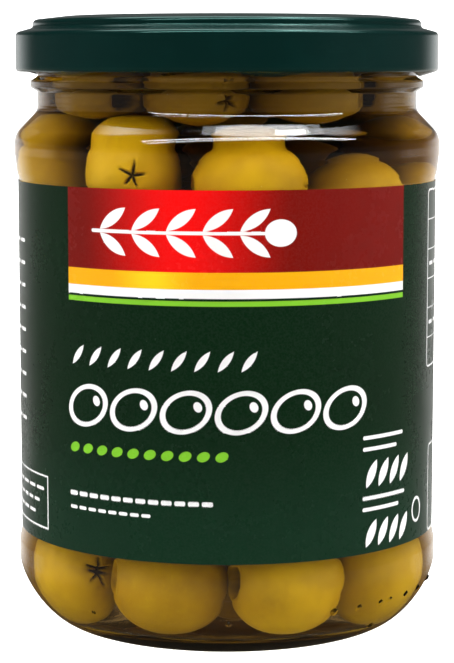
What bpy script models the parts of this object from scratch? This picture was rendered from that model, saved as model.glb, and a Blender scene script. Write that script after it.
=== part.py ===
"""A twist-off glass jar packed with pitted green olives, with its metal lid and its wrap-round label.

Metres, +Z up. The origin is the middle of the base, on the surface that the jar stands on. The front is -Y,
and an azimuth is measured from there towards +X.
"""

import math
import random

import bmesh
import bpy
from mathutils import Matrix, Vector

MM = 0.001
STEPS = 60
MERGE = 0.00001
GAP = 0.3 * MM
FIX = 0.02 * MM

# Glass: the finish that the lid grips, the neck, the shoulder and the body
MOUTH_RADIUS = 33.5 * MM
NECK_RADIUS = 36.1 * MM
RIM_HEIGHT = 113.9 * MM
RIM_ROUND = 1.2 * MM
BEAD_RADIUS = 37.45 * MM
BEAD_HEIGHT = 102.65 * MM
BEAD_HALF = 1.45 * MM
NECK_FOOT = 97.8 * MM
SHOULDER_FOOT = 93.2 * MM
NECK_FILLET = 2.6 * MM
SHOULDER_FILLET = 3.9 * MM
BODY_RADIUS = 40.55 * MM
FOOT_RADIUS = 40.35 * MM
UPPER_RING_BOTTOM = 89.4 * MM
LOWER_RING_TOP = 15.4 * MM

# Glass: the panel that the label lies on, a little in from the rings above and below it
PANEL_RADIUS = 39.72 * MM
PANEL_LEDGE_RADIUS = 40.2 * MM
PANEL_TOP = 85.0 * MM
PANEL_BOTTOM = 17.6 * MM

# Glass: the heel is a quarter of a superellipse that ends on the flat bearing ring
HEEL_HEIGHT = 11.6 * MM
HEEL_FULLNESS = 1.46
HEEL_POINTS = 6
BEARING_OUTER = 31.6 * MM
BEARING_INNER = 29.6 * MM
PUSH_UP_RADIUS = 28.2 * MM
PUSH_UP_EDGE = 1.0 * MM
PUSH_UP_CENTRE = 2.2 * MM

# Glass: the inside
INNER_RADIUS = 37.3 * MM
FLOOR_EDGE = 3.7 * MM
FLOOR_CENTRE = 4.9 * MM
FLOOR_FILLET = 8.8 * MM
INNER_NECK_FOOT = 96.9 * MM
INNER_SHOULDER_FOOT = 92.0 * MM
INNER_FILLET = 3.6 * MM

# Six thread ridges climb the finish, one for each lug of the lid
LUGS = 6
RIDGE_START = math.radians(-81.4)
RIDGE_SPAN = math.radians(72.0)
RIDGE_LOW = 104.9 * MM
RIDGE_SLOPE = 0.113
RIDGE_THICKNESS = 0.8 * MM
RIDGE_PATH_RADIUS = 37.1 * MM
RIDGE_POINTS = 11

# Raised dots of the mould's code on the right of the heel, and three nibs lower down
DOT_FIRST = math.radians(29.5)
DOT_PITCH = math.radians(4.07)
DOT_PLACES = (0, 2, 4, 5, 7, 9, 12)
DOT_HEIGHT = 8.1 * MM
DOT_SIZE = (0.50 * MM, 0.45 * MM, 0.75 * MM)
NIB_PLACES = ((math.radians(-38.9), 6.8 * MM), (math.radians(0.4), 7.0 * MM), (math.radians(47.7), 2.9 * MM))
NIB_SIZE = (0.40 * MM, 0.40 * MM, 0.45 * MM)

# Lid: tinplate pressed to a raised panel, a shoulder and a straight skirt with a rolled edge
LID_TOP = 115.4 * MM
LID_DOME = 0.35 * MM
LID_PANEL_FLAT = 30.0 * MM
LID_PANEL_RADIUS = 36.9 * MM
LID_SHOULDER_HEIGHT = 113.2 * MM
LID_CORNER_HEIGHT = 112.3 * MM
LID_RADIUS = 40.15 * MM
LID_SHEET = 0.5 * MM
LID_BOTTOM = 104.95 * MM
CURL_HEIGHT = 1.3 * MM
CURL_INNER = 38.45 * MM
LUG_FIRST = math.radians(-48.0)
LUG_HALF_WIDTH = math.radians(13.0)
LUG_REACH = 1.25 * MM
LUG_DROP = 0.8 * MM

# Label: one paper wrap
LABEL_BOTTOM = 18.15 * MM
LABEL_TOP = 84.5 * MM
LABEL_SHEET = 0.3 * MM

# Olives: size, the ring of them against the wall and the ring in the neck
OLIVE_HALF_LENGTH = 10.0 * MM
OLIVE_HALF_WIDTH = 8.3 * MM
OLIVE_SEGMENTS = 12
OLIVE_RINGS = 8
OLIVE_SIZE_SPREAD = 0.02
OLIVE_TURN_SPREAD = math.radians(4.0)
PIT_HOLE_DEPTH = 2.6 * MM
BODY_REACH = 36.8 * MM
NECK_REACH = 32.9 * MM
INNER_REACH = 18.2 * MM
INNER_RISE = 2.9 * MM
BOTTOM_ROW_HEIGHT = 12.6 * MM
BOTTOM_ROW_SIZE = 1.025
TOP_ROW_HEIGHT = 87.0 * MM
NECK_ROW_HEIGHT = 100.6 * MM
CORE_RADIUS = 29.5 * MM
CORE_NECK_RADIUS = 25.6 * MM
CORE_BOTTOM = 10.5 * MM
CORE_SHOULDER = 90.0 * MM
CORE_NECK_FOOT = 95.0 * MM
CORE_TOP = 104.0 * MM
CORE_STEPS = 24
SEED = 7

COLOURS = {
    "glass": (0.62, 0.60, 0.45, 1.0),
    "lid": (0.006, 0.022, 0.015, 1.0),
    "label": (0.007, 0.026, 0.011, 1.0),
    "olives": (0.52, 0.33, 0.03, 1.0),
}


def clear_scene():
    """Remove whatever the file opened with."""
    for old in list(bpy.data.objects):
        bpy.data.objects.remove(old, do_unlink=True)


def make_collection(name):
    """Make a collection in the scene."""
    collection = bpy.data.collections.new(name)
    bpy.context.scene.collection.children.link(collection)
    return collection


def make_material(name, roughness, metallic=0.0, transmission=0.0):
    """Make a Principled material in the piece's colour."""
    material = bpy.data.materials.new(name)
    material.use_nodes = True
    shader = material.node_tree.nodes["Principled BSDF"]
    shader.inputs["Base Color"].default_value = COLOURS[name]
    shader.inputs["Roughness"].default_value = roughness
    shader.inputs["Metallic"].default_value = metallic
    shader.inputs["Transmission Weight"].default_value = transmission
    return material


def make_object(name, mesh, collection, material=None):
    """Put a mesh in the scene as a named object, shaded smooth up to its edges."""
    mesh.shade_smooth()
    mesh.set_sharp_from_angle(angle=math.radians(35.0))
    piece = bpy.data.objects.new(name, mesh)
    if material is not None:
        mesh.materials.append(material)
    collection.objects.link(piece)
    return piece


def outward(azimuth):
    """Give the level direction at an azimuth from the front."""
    return Vector((math.sin(azimuth), -math.cos(azimuth), 0.0))


def rounded_corner(before, corner, after, radius, segments):
    """Give the points of an arc that takes the place of a corner."""
    corner = Vector(corner)
    to_before = (Vector(before) - corner).normalized()
    to_after = (Vector(after) - corner).normalized()
    half = to_before.angle(to_after) / 2.0
    reach = radius / math.tan(half)
    middle = corner + (to_before + to_after).normalized() * (radius / math.sin(half))
    start = corner + to_before * reach - middle
    sweep = start.angle_signed(corner + to_after * reach - middle)
    points = []
    for step in range(segments + 1):
        turn = Matrix.Rotation(-sweep * step / segments, 2)
        points.append(middle + turn @ start)
    return points


def outline(*corners):
    """Join corners given as radius, height, rounding and segments into one run of points."""
    points = []
    for index, (radius, height, rounding, segments) in enumerate(corners):
        if rounding == 0.0:
            points.append(Vector((radius, height)))
            continue
        before = corners[index - 1][:2]
        after = corners[index + 1][:2]
        points.extend(rounded_corner(before, (radius, height), after, rounding, segments))
    return points


def heel_points(count):
    """Give the heel's outline from the lower ring down to the bearing ring."""
    points = []
    power = 2.0 / HEEL_FULLNESS
    for step in range(1, count + 1):
        angle = math.pi / 2.0 * step / count
        radius = BEARING_OUTER + (FOOT_RADIUS - BEARING_OUTER) * math.cos(angle) ** power
        height = HEEL_HEIGHT * (1.0 - math.sin(angle) ** power)
        points.append(Vector((radius, height)))
    return points


def turned(name, points, collection, material, closed=False, steps=STEPS):
    """Turn an outline about Z. It runs down the outer side, from top to bottom."""
    bm = bmesh.new()
    verts = [bm.verts.new((point.x, 0.0, point.y)) for point in points]
    for first, second in zip(verts, verts[1:]):
        bm.edges.new((first, second))
    if closed:
        bm.edges.new((verts[-1], verts[0]))
    mesh = bpy.data.meshes.new(name)
    bm.to_mesh(mesh)
    bm.free()
    piece = make_object(name, mesh, collection, material)
    screw = piece.modifiers.new("Turn", "SCREW")
    screw.axis = "Z"
    screw.steps = steps
    screw.render_steps = steps
    screw.use_merge_vertices = True
    screw.merge_threshold = MERGE
    screw.use_smooth_shade = True
    return piece


def evaluated_mesh(piece):
    """Give a new mesh of a piece as its modifiers leave it."""
    bpy.context.view_layer.update()
    graph = bpy.context.evaluated_depsgraph_get()
    return bpy.data.meshes.new_from_object(piece.evaluated_get(graph))


def apply_modifiers(piece):
    """Turn a piece's modifiers into its mesh."""
    mesh = evaluated_mesh(piece)
    old = piece.data
    piece.modifiers.clear()
    piece.data = mesh
    bpy.data.meshes.remove(old)


def islands(bm):
    """Give the faces of each separate shell of a mesh."""
    found = []
    left = set(bm.faces)
    while left:
        shell = [left.pop()]
        for face in shell:
            for edge in face.edges:
                for near in edge.link_faces:
                    if near in left:
                        left.remove(near)
                        shell.append(near)
        found.append(shell)
    return found


def keep_outer_shell(mesh):
    """Keep the largest shell, which fills sealed hollows and drops scraps, and merge slivers."""
    bm = bmesh.new()
    bm.from_mesh(mesh)
    bmesh.ops.dissolve_degenerate(bm, edges=bm.edges, dist=FIX)
    shells = sorted(islands(bm), key=len)
    spare = [face for shell in shells[:-1] for face in shell]
    bmesh.ops.delete(bm, geom=spare, context="FACES")
    bmesh.ops.triangulate(bm, faces=bm.faces)
    bm.to_mesh(mesh)
    bm.free()


def fuse(body, pieces, collection):
    """Join pieces to a body with one Boolean union, then remove them."""
    for piece in pieces:
        collection.objects.link(piece)
        piece.hide_render = True
        piece.display_type = "WIRE"
    union = body.modifiers.new("Join", "BOOLEAN")
    union.operation = "UNION"
    union.operand_type = "COLLECTION"
    union.collection = collection
    union.solver = "EXACT"
    apply_modifiers(body)
    for piece in pieces:
        bpy.data.objects.remove(piece, do_unlink=True)
    keep_outer_shell(body.data)


def thread_ridge(index):
    """Make one ridge: a rib that climbs the finish and fades out at both ends."""
    curve = bpy.data.curves.new("ridge", "CURVE")
    curve.dimensions = "3D"
    curve.bevel_depth = RIDGE_THICKNESS
    curve.bevel_resolution = 1
    curve.use_fill_caps = True
    spline = curve.splines.new("POLY")
    spline.points.add(RIDGE_POINTS - 1)
    for step, point in enumerate(spline.points):
        share = step / (RIDGE_POINTS - 1)
        azimuth = RIDGE_START + index * math.tau / LUGS + RIDGE_SPAN * share
        height = RIDGE_LOW + RIDGE_SLOPE * RIDGE_PATH_RADIUS * RIDGE_SPAN * share
        at_end = step in (0, RIDGE_POINTS - 1)
        radius = NECK_RADIUS - RIDGE_THICKNESS if at_end else RIDGE_PATH_RADIUS
        place = outward(azimuth) * radius
        point.co = (place.x, place.y, height, 1.0)
    rib = bpy.data.objects.new("ridge", curve)
    bpy.context.scene.collection.objects.link(rib)
    mesh = evaluated_mesh(rib)
    bpy.data.objects.remove(rib, do_unlink=True)
    bm = bmesh.new()
    bm.from_mesh(mesh)
    bmesh.ops.remove_doubles(bm, verts=bm.verts, dist=MERGE)
    bmesh.ops.recalc_face_normals(bm, faces=bm.faces)
    bm.to_mesh(mesh)
    bm.free()
    return bpy.data.objects.new("ridge", mesh)


def surface_dot(azimuth, height, size):
    """Make one small raised dot on the heel."""
    share = min(height / HEEL_HEIGHT, 1.0)
    full = (1.0 - (1.0 - share) ** HEEL_FULLNESS) ** (1.0 / HEEL_FULLNESS)
    radius = BEARING_OUTER + (FOOT_RADIUS - BEARING_OUTER) * full
    bm = bmesh.new()
    bmesh.ops.create_icosphere(bm, subdivisions=1, radius=1.0)
    bmesh.ops.scale(bm, vec=size, verts=bm.verts)
    turn = Matrix.Rotation(azimuth, 4, "Z")
    bmesh.ops.transform(bm, matrix=turn, verts=bm.verts)
    bmesh.ops.translate(bm, vec=outward(azimuth) * radius + Vector((0.0, 0.0, height)), verts=bm.verts)
    mesh = bpy.data.meshes.new("dot")
    bm.to_mesh(mesh)
    bm.free()
    return bpy.data.objects.new("dot", mesh)


def glass_outline():
    """Give the jar's outline: up the inside, over the rim, down the outside and in along the base."""
    inside = outline(
        (0.0, FLOOR_CENTRE, 0.0, 0),
        (INNER_RADIUS - FLOOR_FILLET - GAP, FLOOR_EDGE, 0.0, 0),
        (INNER_RADIUS, FLOOR_EDGE, FLOOR_FILLET, 3),
        (INNER_RADIUS, INNER_SHOULDER_FOOT, INNER_FILLET, 2),
        (MOUTH_RADIUS, INNER_NECK_FOOT, INNER_FILLET, 2),
        (MOUTH_RADIUS, RIM_HEIGHT, RIM_ROUND, 2),
        (NECK_RADIUS, RIM_HEIGHT, RIM_ROUND, 2),
        (NECK_RADIUS, BEAD_HEIGHT + BEAD_HALF, 0.0, 0),
        (BEAD_RADIUS, BEAD_HEIGHT + BEAD_HALF / 3.0, 0.0, 0),
        (BEAD_RADIUS, BEAD_HEIGHT - BEAD_HALF / 4.0, 0.0, 0),
        (NECK_RADIUS, BEAD_HEIGHT - BEAD_HALF, 0.0, 0),
        (NECK_RADIUS, NECK_FOOT, NECK_FILLET, 3),
        (BODY_RADIUS, SHOULDER_FOOT, SHOULDER_FILLET, 3),
        (BODY_RADIUS, UPPER_RING_BOTTOM, 0.0, 0),
        (PANEL_LEDGE_RADIUS, PANEL_TOP + 2.0 * MM, 0.0, 0),
        (PANEL_RADIUS, PANEL_TOP, 0.0, 0),
        (PANEL_RADIUS, PANEL_BOTTOM, 0.0, 0),
        (FOOT_RADIUS, LOWER_RING_TOP, 0.0, 0),
        (FOOT_RADIUS, HEEL_HEIGHT, 0.0, 0),
    )
    base = outline(
        (BEARING_INNER, 0.0, 0.0, 0),
        (PUSH_UP_RADIUS, PUSH_UP_EDGE, 0.0, 0),
        (0.0, PUSH_UP_CENTRE, 0.0, 0),
    )
    return inside + heel_points(HEEL_POINTS) + base


def build_glass(collection, cutters):
    """Build the jar, with its thread ridges, the mould's dots and the nibs fused to it."""
    material = make_material("glass", roughness=0.03, transmission=1.0)
    jar = turned("glass_jar", glass_outline(), collection, material)
    raised = [thread_ridge(index) for index in range(LUGS)]
    raised += [surface_dot(DOT_FIRST + DOT_PITCH * place, DOT_HEIGHT, DOT_SIZE) for place in DOT_PLACES]
    raised += [surface_dot(azimuth, height, NIB_SIZE) for azimuth, height in NIB_PLACES]
    fuse(jar, raised, cutters)
    return jar


def press_lugs(mesh):
    """Press the rolled edge in and down at each lug."""
    for vert in mesh.vertices:
        share = (LID_BOTTOM + CURL_HEIGHT + LID_SHEET - vert.co.z) / CURL_HEIGHT
        if share <= 0.0:
            continue
        azimuth = math.atan2(vert.co.x, -vert.co.y)
        pitch = math.tau / LUGS
        away = (azimuth - LUG_FIRST + pitch / 2.0) % pitch - pitch / 2.0
        if abs(away) >= LUG_HALF_WIDTH:
            continue
        push = math.cos(away / LUG_HALF_WIDTH * math.pi / 2.0) ** 2 * min(share, 1.0)
        radius = math.hypot(vert.co.x, vert.co.y)
        vert.co.x *= 1.0 - push * LUG_REACH / radius
        vert.co.y *= 1.0 - push * LUG_REACH / radius
        vert.co.z -= push * LUG_DROP


def lid_outline():
    """Give the lid's outline: down the outside, round the rolled edge and up the inside."""
    inner = LID_RADIUS - LID_SHEET
    return outline(
        (0.0, LID_TOP, 0.0, 0),
        (LID_PANEL_FLAT, LID_TOP, 0.0, 0),
        (LID_PANEL_RADIUS, LID_TOP - LID_DOME - LID_DOME, 0.9 * MM, 2),
        (LID_PANEL_RADIUS, LID_SHOULDER_HEIGHT, 0.0, 0),
        (LID_RADIUS, LID_CORNER_HEIGHT, 0.9 * MM, 2),
        (LID_RADIUS, LID_BOTTOM + CURL_HEIGHT, 0.0, 0),
        (LID_RADIUS - 0.5 * MM, LID_BOTTOM + 0.3 * MM, 0.0, 0),
        (LID_RADIUS - 1.0 * MM, LID_BOTTOM, 0.0, 0),
        (CURL_INNER, LID_BOTTOM + 0.35 * MM, 0.0, 0),
        (CURL_INNER, LID_BOTTOM + CURL_HEIGHT - 0.5 * MM, 0.0, 0),
        (inner, LID_BOTTOM + CURL_HEIGHT + 0.2 * MM, 0.0, 0),
        (inner, LID_CORNER_HEIGHT - LID_SHEET, 0.0, 0),
        (LID_PANEL_RADIUS - LID_SHEET, LID_SHOULDER_HEIGHT - LID_SHEET, 0.0, 0),
        (LID_PANEL_RADIUS - LID_SHEET, LID_TOP - LID_DOME - LID_DOME - LID_SHEET, 0.0, 0),
        (LID_PANEL_FLAT, LID_TOP - LID_SHEET, 0.0, 0),
        (0.0, LID_TOP - LID_SHEET, 0.0, 0),
    )


def build_lid(collection):
    """Build the lid, with its lugs pressed in under the glass ridges."""
    material = make_material("lid", roughness=0.25, metallic=0.0)
    lid = turned("lid", lid_outline(), collection, material)
    apply_modifiers(lid)
    press_lugs(lid.data)
    return lid


def build_label(collection):
    """Build the paper wrap, a turned strip that lies on the glass panel."""
    material = make_material("label", roughness=0.45)
    inner = PANEL_RADIUS + GAP
    outer = inner + LABEL_SHEET
    points = outline(
        (outer, LABEL_TOP, 0.0, 0),
        (outer, LABEL_BOTTOM, 0.0, 0),
        (inner, LABEL_BOTTOM, 0.0, 0),
        (inner, LABEL_TOP, 0.0, 0),
    )
    return turned("label", points, collection, material, closed=True)


def olive(place, height, reach, chance, scale=1.0):
    """Make one pitted olive that touches the wall.

    The place is its azimuth, its turn and its nose, in degrees. The turn is 0 where its cut end points
    along the wall, and 90 where that end points at the wall. The nose is how far that end is raised.
    """
    azimuth, turn, nose = (math.radians(angle) for angle in place)
    bm = bmesh.new()
    bmesh.ops.create_uvsphere(bm, u_segments=OLIVE_SEGMENTS, v_segments=OLIVE_RINGS, radius=1.0)
    size = scale * (1.0 + chance.uniform(-OLIVE_SIZE_SPREAD, 0.0))
    width = OLIVE_HALF_WIDTH * size
    length = OLIVE_HALF_LENGTH * size
    for vert in bm.verts:
        if abs(vert.co.z) > 0.999:
            vert.co.z *= 1.0 - PIT_HOLE_DEPTH / length
    bmesh.ops.scale(bm, vec=(width, width, length), verts=bm.verts)
    turn += chance.uniform(-OLIVE_TURN_SPREAD, OLIVE_TURN_SPREAD)
    away = outward(azimuth)
    along = Vector((-away.y, away.x, 0.0))
    level = along * math.cos(turn) + away * math.sin(turn)
    axis = level * math.cos(nose) + Vector((0.0, 0.0, math.sin(nose)))
    share = axis.dot(away)
    extent = math.sqrt((length * share) ** 2 + width**2 * (1.0 - share**2))
    middle = away * (reach - extent) + Vector((0.0, 0.0, height))
    lie = axis.to_track_quat("Z", "Y").to_matrix().to_4x4()
    bmesh.ops.transform(bm, matrix=Matrix.Translation(middle) @ lie, verts=bm.verts)
    mesh = bpy.data.meshes.new("olive")
    bm.to_mesh(mesh)
    bm.free()
    return bpy.data.objects.new("olive", mesh)


def bottom_row(chance):
    """Give the olives round the foot, and three that stand in the middle."""
    turns = (9.0, -25.0, -6.0, 194.0, 12.0, 180.0, 8.0, -6.0)
    first = -61.5
    step = 41.0
    places = [(first + step * index, turn, 0.0) for index, turn in enumerate(turns)]
    places.append((first - (360.0 - 7.0 * step) / 2.0, 90.0, 0.0))
    row = [olive(place, BOTTOM_ROW_HEIGHT, BODY_REACH, chance, BOTTOM_ROW_SIZE) for place in places]
    for index in range(3):
        row.append(olive((120.0 * index, 0.0, 90.0), BOTTOM_ROW_HEIGHT + INNER_RISE, INNER_REACH, chance))
    return row


def top_row(chance):
    """Give the olives just above the label, some along the wall and some end on."""
    places = (
        ((-81.0, 95.0, 0.0), -2.5),
        ((-34.5, 57.0, 2.0), 0.0),
        ((7.3, 3.0, 0.0), -2.0),
        ((48.8, 49.0, 0.0), -5.0),
        ((91.0, 90.0, 0.0), -6.0),
        ((129.0, 90.0, -15.0), -1.0),
        ((166.5, 180.0, 5.0), -3.5),
        ((204.0, 90.0, -10.0), 0.0),
        ((240.0, 0.0, 5.0), -4.0),
    )
    return [olive(place, TOP_ROW_HEIGHT + rise * MM, BODY_REACH, chance) for place, rise in places]


def neck_row(chance):
    """Give the olives in the neck, evenly spaced."""
    turns = (43.0, 213.0, 0.0, 180.0, 20.0, 170.0, 0.0, 190.0)
    first = -12.0
    step = 45.0
    places = [(first + step * index, turn, 0.0) for index, turn in enumerate(turns)]
    return [olive(place, NECK_ROW_HEIGHT, NECK_REACH, chance) for place in places]


def build_olives(collection, cutters):
    """Build the heap: a smaller core with the olives that show fused on."""
    chance = random.Random(SEED)
    material = make_material("olives", roughness=0.3)
    core = outline(
        (0.0, CORE_TOP, 0.0, 0),
        (CORE_NECK_RADIUS, CORE_TOP, 0.0, 0),
        (CORE_NECK_RADIUS, CORE_NECK_FOOT, 0.0, 0),
        (CORE_RADIUS, CORE_SHOULDER, 0.0, 0),
        (CORE_RADIUS, CORE_BOTTOM + 4.0 * MM, 0.0, 0),
        (CORE_RADIUS - 6.0 * MM, CORE_BOTTOM, 0.0, 0),
        (0.0, CORE_BOTTOM, 0.0, 0),
    )
    heap = turned("olives", core, collection, material, steps=CORE_STEPS)
    fuse(heap, bottom_row(chance) + top_row(chance) + neck_row(chance), cutters)
    return heap


def main():
    """Build the jar of olives."""
    clear_scene()
    collection = make_collection("jar_of_olives")
    cutters = make_collection("joined_shapes")
    build_glass(collection, cutters)
    build_lid(collection)
    build_label(collection)
    build_olives(collection, cutters)


main()
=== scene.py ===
"""Looks of a twist-off glass jar of pitted green olives in brine, with its metal lid and paper label.

Metres, +Z up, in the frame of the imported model: the origin is the middle of the base and the front is -Y.
An azimuth is measured from the front towards +X.
"""

import logging
import math
import random
from dataclasses import dataclass, field
from enum import Enum

import bmesh
import bpy
from mathutils import Matrix, Vector, noise


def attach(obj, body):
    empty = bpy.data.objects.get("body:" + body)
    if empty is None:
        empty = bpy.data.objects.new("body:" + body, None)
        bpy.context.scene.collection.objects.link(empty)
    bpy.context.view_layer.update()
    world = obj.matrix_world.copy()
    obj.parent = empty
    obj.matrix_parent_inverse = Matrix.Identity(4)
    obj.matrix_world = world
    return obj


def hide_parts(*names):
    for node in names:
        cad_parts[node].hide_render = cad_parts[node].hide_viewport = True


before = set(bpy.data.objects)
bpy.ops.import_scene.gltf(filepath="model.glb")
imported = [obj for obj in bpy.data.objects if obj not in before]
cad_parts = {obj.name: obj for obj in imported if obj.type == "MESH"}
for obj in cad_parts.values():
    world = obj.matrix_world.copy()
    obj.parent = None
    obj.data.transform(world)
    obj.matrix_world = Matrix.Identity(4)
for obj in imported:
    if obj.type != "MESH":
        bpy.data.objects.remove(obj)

LOG = logging.getLogger("jar_of_olives")
MM = 0.001
BODY = "root"
MERGE = 0.000001
SHARP_ANGLE = math.radians(55.0)
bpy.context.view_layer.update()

# Half the width over which a printed edge fades, and how far past its edges an area is printed, in mm.
INK_SOFT = 0.07
AREA_MARGIN = 3.0

Colour = tuple[float, float, float]
Corner = tuple[float, float, float]
Run = tuple[float, float]
WHITE: Colour = (1.0, 1.0, 1.0)


def outward(azimuth: float) -> Vector:
    """Give the level direction at an azimuth from the front.

    Args:
        azimuth: The angle from the front towards +X, in radians.

    Returns:
        The direction, one long.
    """
    return Vector((math.sin(azimuth), -math.cos(azimuth), 0.0))


def azimuth_of(place: Vector) -> float:
    """Give the azimuth of a place, in radians."""
    return math.atan2(place.x, -place.y)


def smooth_step(low: float, high: float, value: float) -> float:
    """Rise smoothly from 0 to 1 as a value passes from low to high.

    Args:
        low: Where the rise starts.
        high: Where the rise ends.
        value: The value to place.

    Returns:
        The share of the rise.
    """
    share = min(max((value - low) / (high - low), 0.0), 1.0)
    return share * share * (3.0 - 2.0 * share)


def opaque(colour: Colour) -> tuple[float, float, float, float]:
    """Give a colour as a shader's socket takes it."""
    return (*colour, 1.0)


class Slot(Enum):
    """The record's material slots."""

    GLASS = "glass"
    LID = "lid_lacquer"
    LABEL = "label_paper"
    OLIVE = "olive_skin"


class Tree:
    """A node tree with short ways to add nodes and join them."""

    def __init__(self, tree: bpy.types.NodeTree) -> None:
        """Take a tree over and empty it.

        Args:
            tree: The node tree of a material, a world or a group.
        """
        self.tree = tree
        self.tree.nodes.clear()

    def add(self, kind: str, **settings: object) -> bpy.types.Node:
        """Add a node.

        Args:
            kind: The node's type name, without the leading ShaderNode.
            settings: Properties of the node, by name.

        Returns:
            The new node.
        """
        node = self.tree.nodes.new("ShaderNode" + kind)
        for name, value in settings.items():
            setattr(node, name, value)
        return node

    def feed(self, target: bpy.types.NodeSocket, source: object) -> None:
        """Set an input to a plain value, or join an output to it.

        Args:
            target: The input socket.
            source: A number, a tuple or an output socket.
        """
        if isinstance(source, bpy.types.NodeSocket):
            self.tree.links.new(source, target)
        else:
            target.default_value = source

    def math(self, operation: str, *values: object) -> bpy.types.NodeSocket:
        """Add a Math node.

        Args:
            operation: The operation's name.
            values: The numbers or sockets that it works on.

        Returns:
            The result's socket.
        """
        node = self.add("Math", operation=operation)
        for target, value in zip(node.inputs, values):
            self.feed(target, value)
        return node.outputs[0]

    def vector(self, operation: str, *values: object) -> bpy.types.Node:
        """Add a Vector Math node and give the node."""
        node = self.add("VectorMath", operation=operation)
        for target, value in zip(node.inputs, values):
            self.feed(target, value)
        return node

    def parts(self, place: object) -> bpy.types.bpy_prop_collection:
        """Split a vector and give the sockets of its three parts."""
        node = self.add("SeparateXYZ")
        self.feed(node.inputs[0], place)
        return node.outputs

    def joined(self, *parts: object) -> bpy.types.NodeSocket:
        """Join parts to a vector and give its socket."""
        node = self.add("CombineXYZ")
        for target, part in zip(node.inputs, parts):
            self.feed(target, part)
        return node.outputs[0]

    def shader(self, kind: str, **plain: object) -> bpy.types.Node:
        """Add a shader and set its plain values on its own sockets.

        Args:
            kind: The node's type name, without the leading ShaderNode.
            plain: The values, by socket with _ for a space.

        Returns:
            The shader's node.
        """
        node = self.add(kind)
        for name, value in plain.items():
            node.inputs[name.replace("_", " ")].default_value = value
        return node

    def choose(self, factor: object, first: bpy.types.Node, second: bpy.types.Node) -> bpy.types.Node:
        """Mix two shaders.

        Args:
            factor: The share of the second shader.
            first: The first shader.
            second: The second shader.

        Returns:
            The mixed shader's node.
        """
        node = self.add("MixShader")
        self.feed(node.inputs[0], factor)
        self.feed(node.inputs[1], first.outputs[0])
        self.feed(node.inputs[2], second.outputs[0])
        return node

    def end(self, shader: bpy.types.Node, kind: str = "OutputMaterial") -> bpy.types.Node:
        """Join a shader to a new output node and give that node."""
        leave = self.add(kind)
        self.feed(leave.inputs["Surface"], shader.outputs[0])
        return leave

    def mix(self, factor: object, first: object, second: object) -> bpy.types.NodeSocket:
        """Mix two colours.

        Args:
            factor: The share of the second colour.
            first: The first colour, a tuple of four or a socket.
            second: The second colour, a tuple of four or a socket.

        Returns:
            The mixed colour's socket.
        """
        node = self.add("Mix", data_type="RGBA")
        self.feed(node.inputs[0], factor)
        self.feed(node.inputs[6], first)
        self.feed(node.inputs[7], second)
        return node.outputs[2]

    def ease(
        self,
        value: object,
        low: float,
        high: float,
        start: float = 0.0,
        end: float = 1.0,
    ) -> bpy.types.NodeSocket:
        """Map a range to another with a smooth step.

        Args:
            value: The number to map.
            low: Where the range starts.
            high: Where the range ends.
            start: What the range's start becomes.
            end: What the range's end becomes.

        Returns:
            The mapped number's socket.
        """
        node = self.add("MapRange", interpolation_type="SMOOTHSTEP")
        for target, number in zip(node.inputs, (value, low, high, start, end)):
            self.feed(target, number)
        return node.outputs[0]

    def noise(
        self,
        place: object,
        scale: float,
        detail: float = 2.0,
        roughness: float = 0.5,
    ) -> bpy.types.NodeSocket:
        """Add a noise and give its value.

        Args:
            place: The coordinates' socket.
            scale: The noise's scale.
            detail: The number of octaves.
            roughness: The share of the finer octaves.

        Returns:
            The noise's value, from 0 to 1.
        """
        node = self.add("TexNoise")
        self.feed(node.inputs["Vector"], place)
        node.inputs["Scale"].default_value = scale
        node.inputs["Detail"].default_value = detail
        node.inputs["Roughness"].default_value = roughness
        return node.outputs["Fac"]

    def bump(
        self,
        height: object,
        strength: float,
        distance: float,
        normal: object = None,
    ) -> bpy.types.NodeSocket:
        """Turn a height into a normal.

        Args:
            height: The height's socket.
            strength: How much of the bump shows.
            distance: The height of a full step, in metres.
            normal: A normal to start from, or None.

        Returns:
            The normal's socket.
        """
        node = self.add("Bump")
        node.inputs["Strength"].default_value = strength
        node.inputs["Distance"].default_value = distance
        self.feed(node.inputs["Height"], height)
        if normal is not None:
            self.feed(node.inputs["Normal"], normal)
        return node.outputs["Normal"]

    def group(self, group: bpy.types.NodeTree, **values: object) -> bpy.types.Node:
        """Place a node group.

        Args:
            group: The group's tree.
            values: Its inputs, by name with _ for a space.

        Returns:
            The group's node.
        """
        node = self.add("Group", node_tree=group)
        for name, value in values.items():
            self.feed(node.inputs[name.replace("_", " ")], value)
        return node


def new_material(name: str) -> tuple[bpy.types.Material, Tree]:
    """Make an empty material.

    Args:
        name: The material's name.

    Returns:
        The material and its tree.
    """
    material = bpy.data.materials.new(name)
    material.use_nodes = True
    return material, Tree(material.node_tree)


def new_group(
    name: str,
    inputs: dict[str, tuple[str, object]],
    outputs: dict[str, str],
) -> tuple[Tree, dict, dict]:
    """Make a shader node group.

    Args:
        name: The group's name.
        inputs: Each input's socket type and default value, by name.
        outputs: Each output's socket type, by name.

    Returns:
        The group's tree, its input sockets and its output sockets by name.
    """
    group = bpy.data.node_groups.new(name, "ShaderNodeTree")
    tree = Tree(group)
    for socket, (kind, value) in inputs.items():
        made = group.interface.new_socket(socket, in_out="INPUT", socket_type="NodeSocket" + kind)
        if value is not None:
            made.default_value = value
    for socket, kind in outputs.items():
        group.interface.new_socket(socket, in_out="OUTPUT", socket_type="NodeSocket" + kind)
    entry = group.nodes.new("NodeGroupInput")
    leave = group.nodes.new("NodeGroupOutput")
    return tree, {s.name: s for s in entry.outputs}, {s.name: s for s in leave.inputs}


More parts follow.
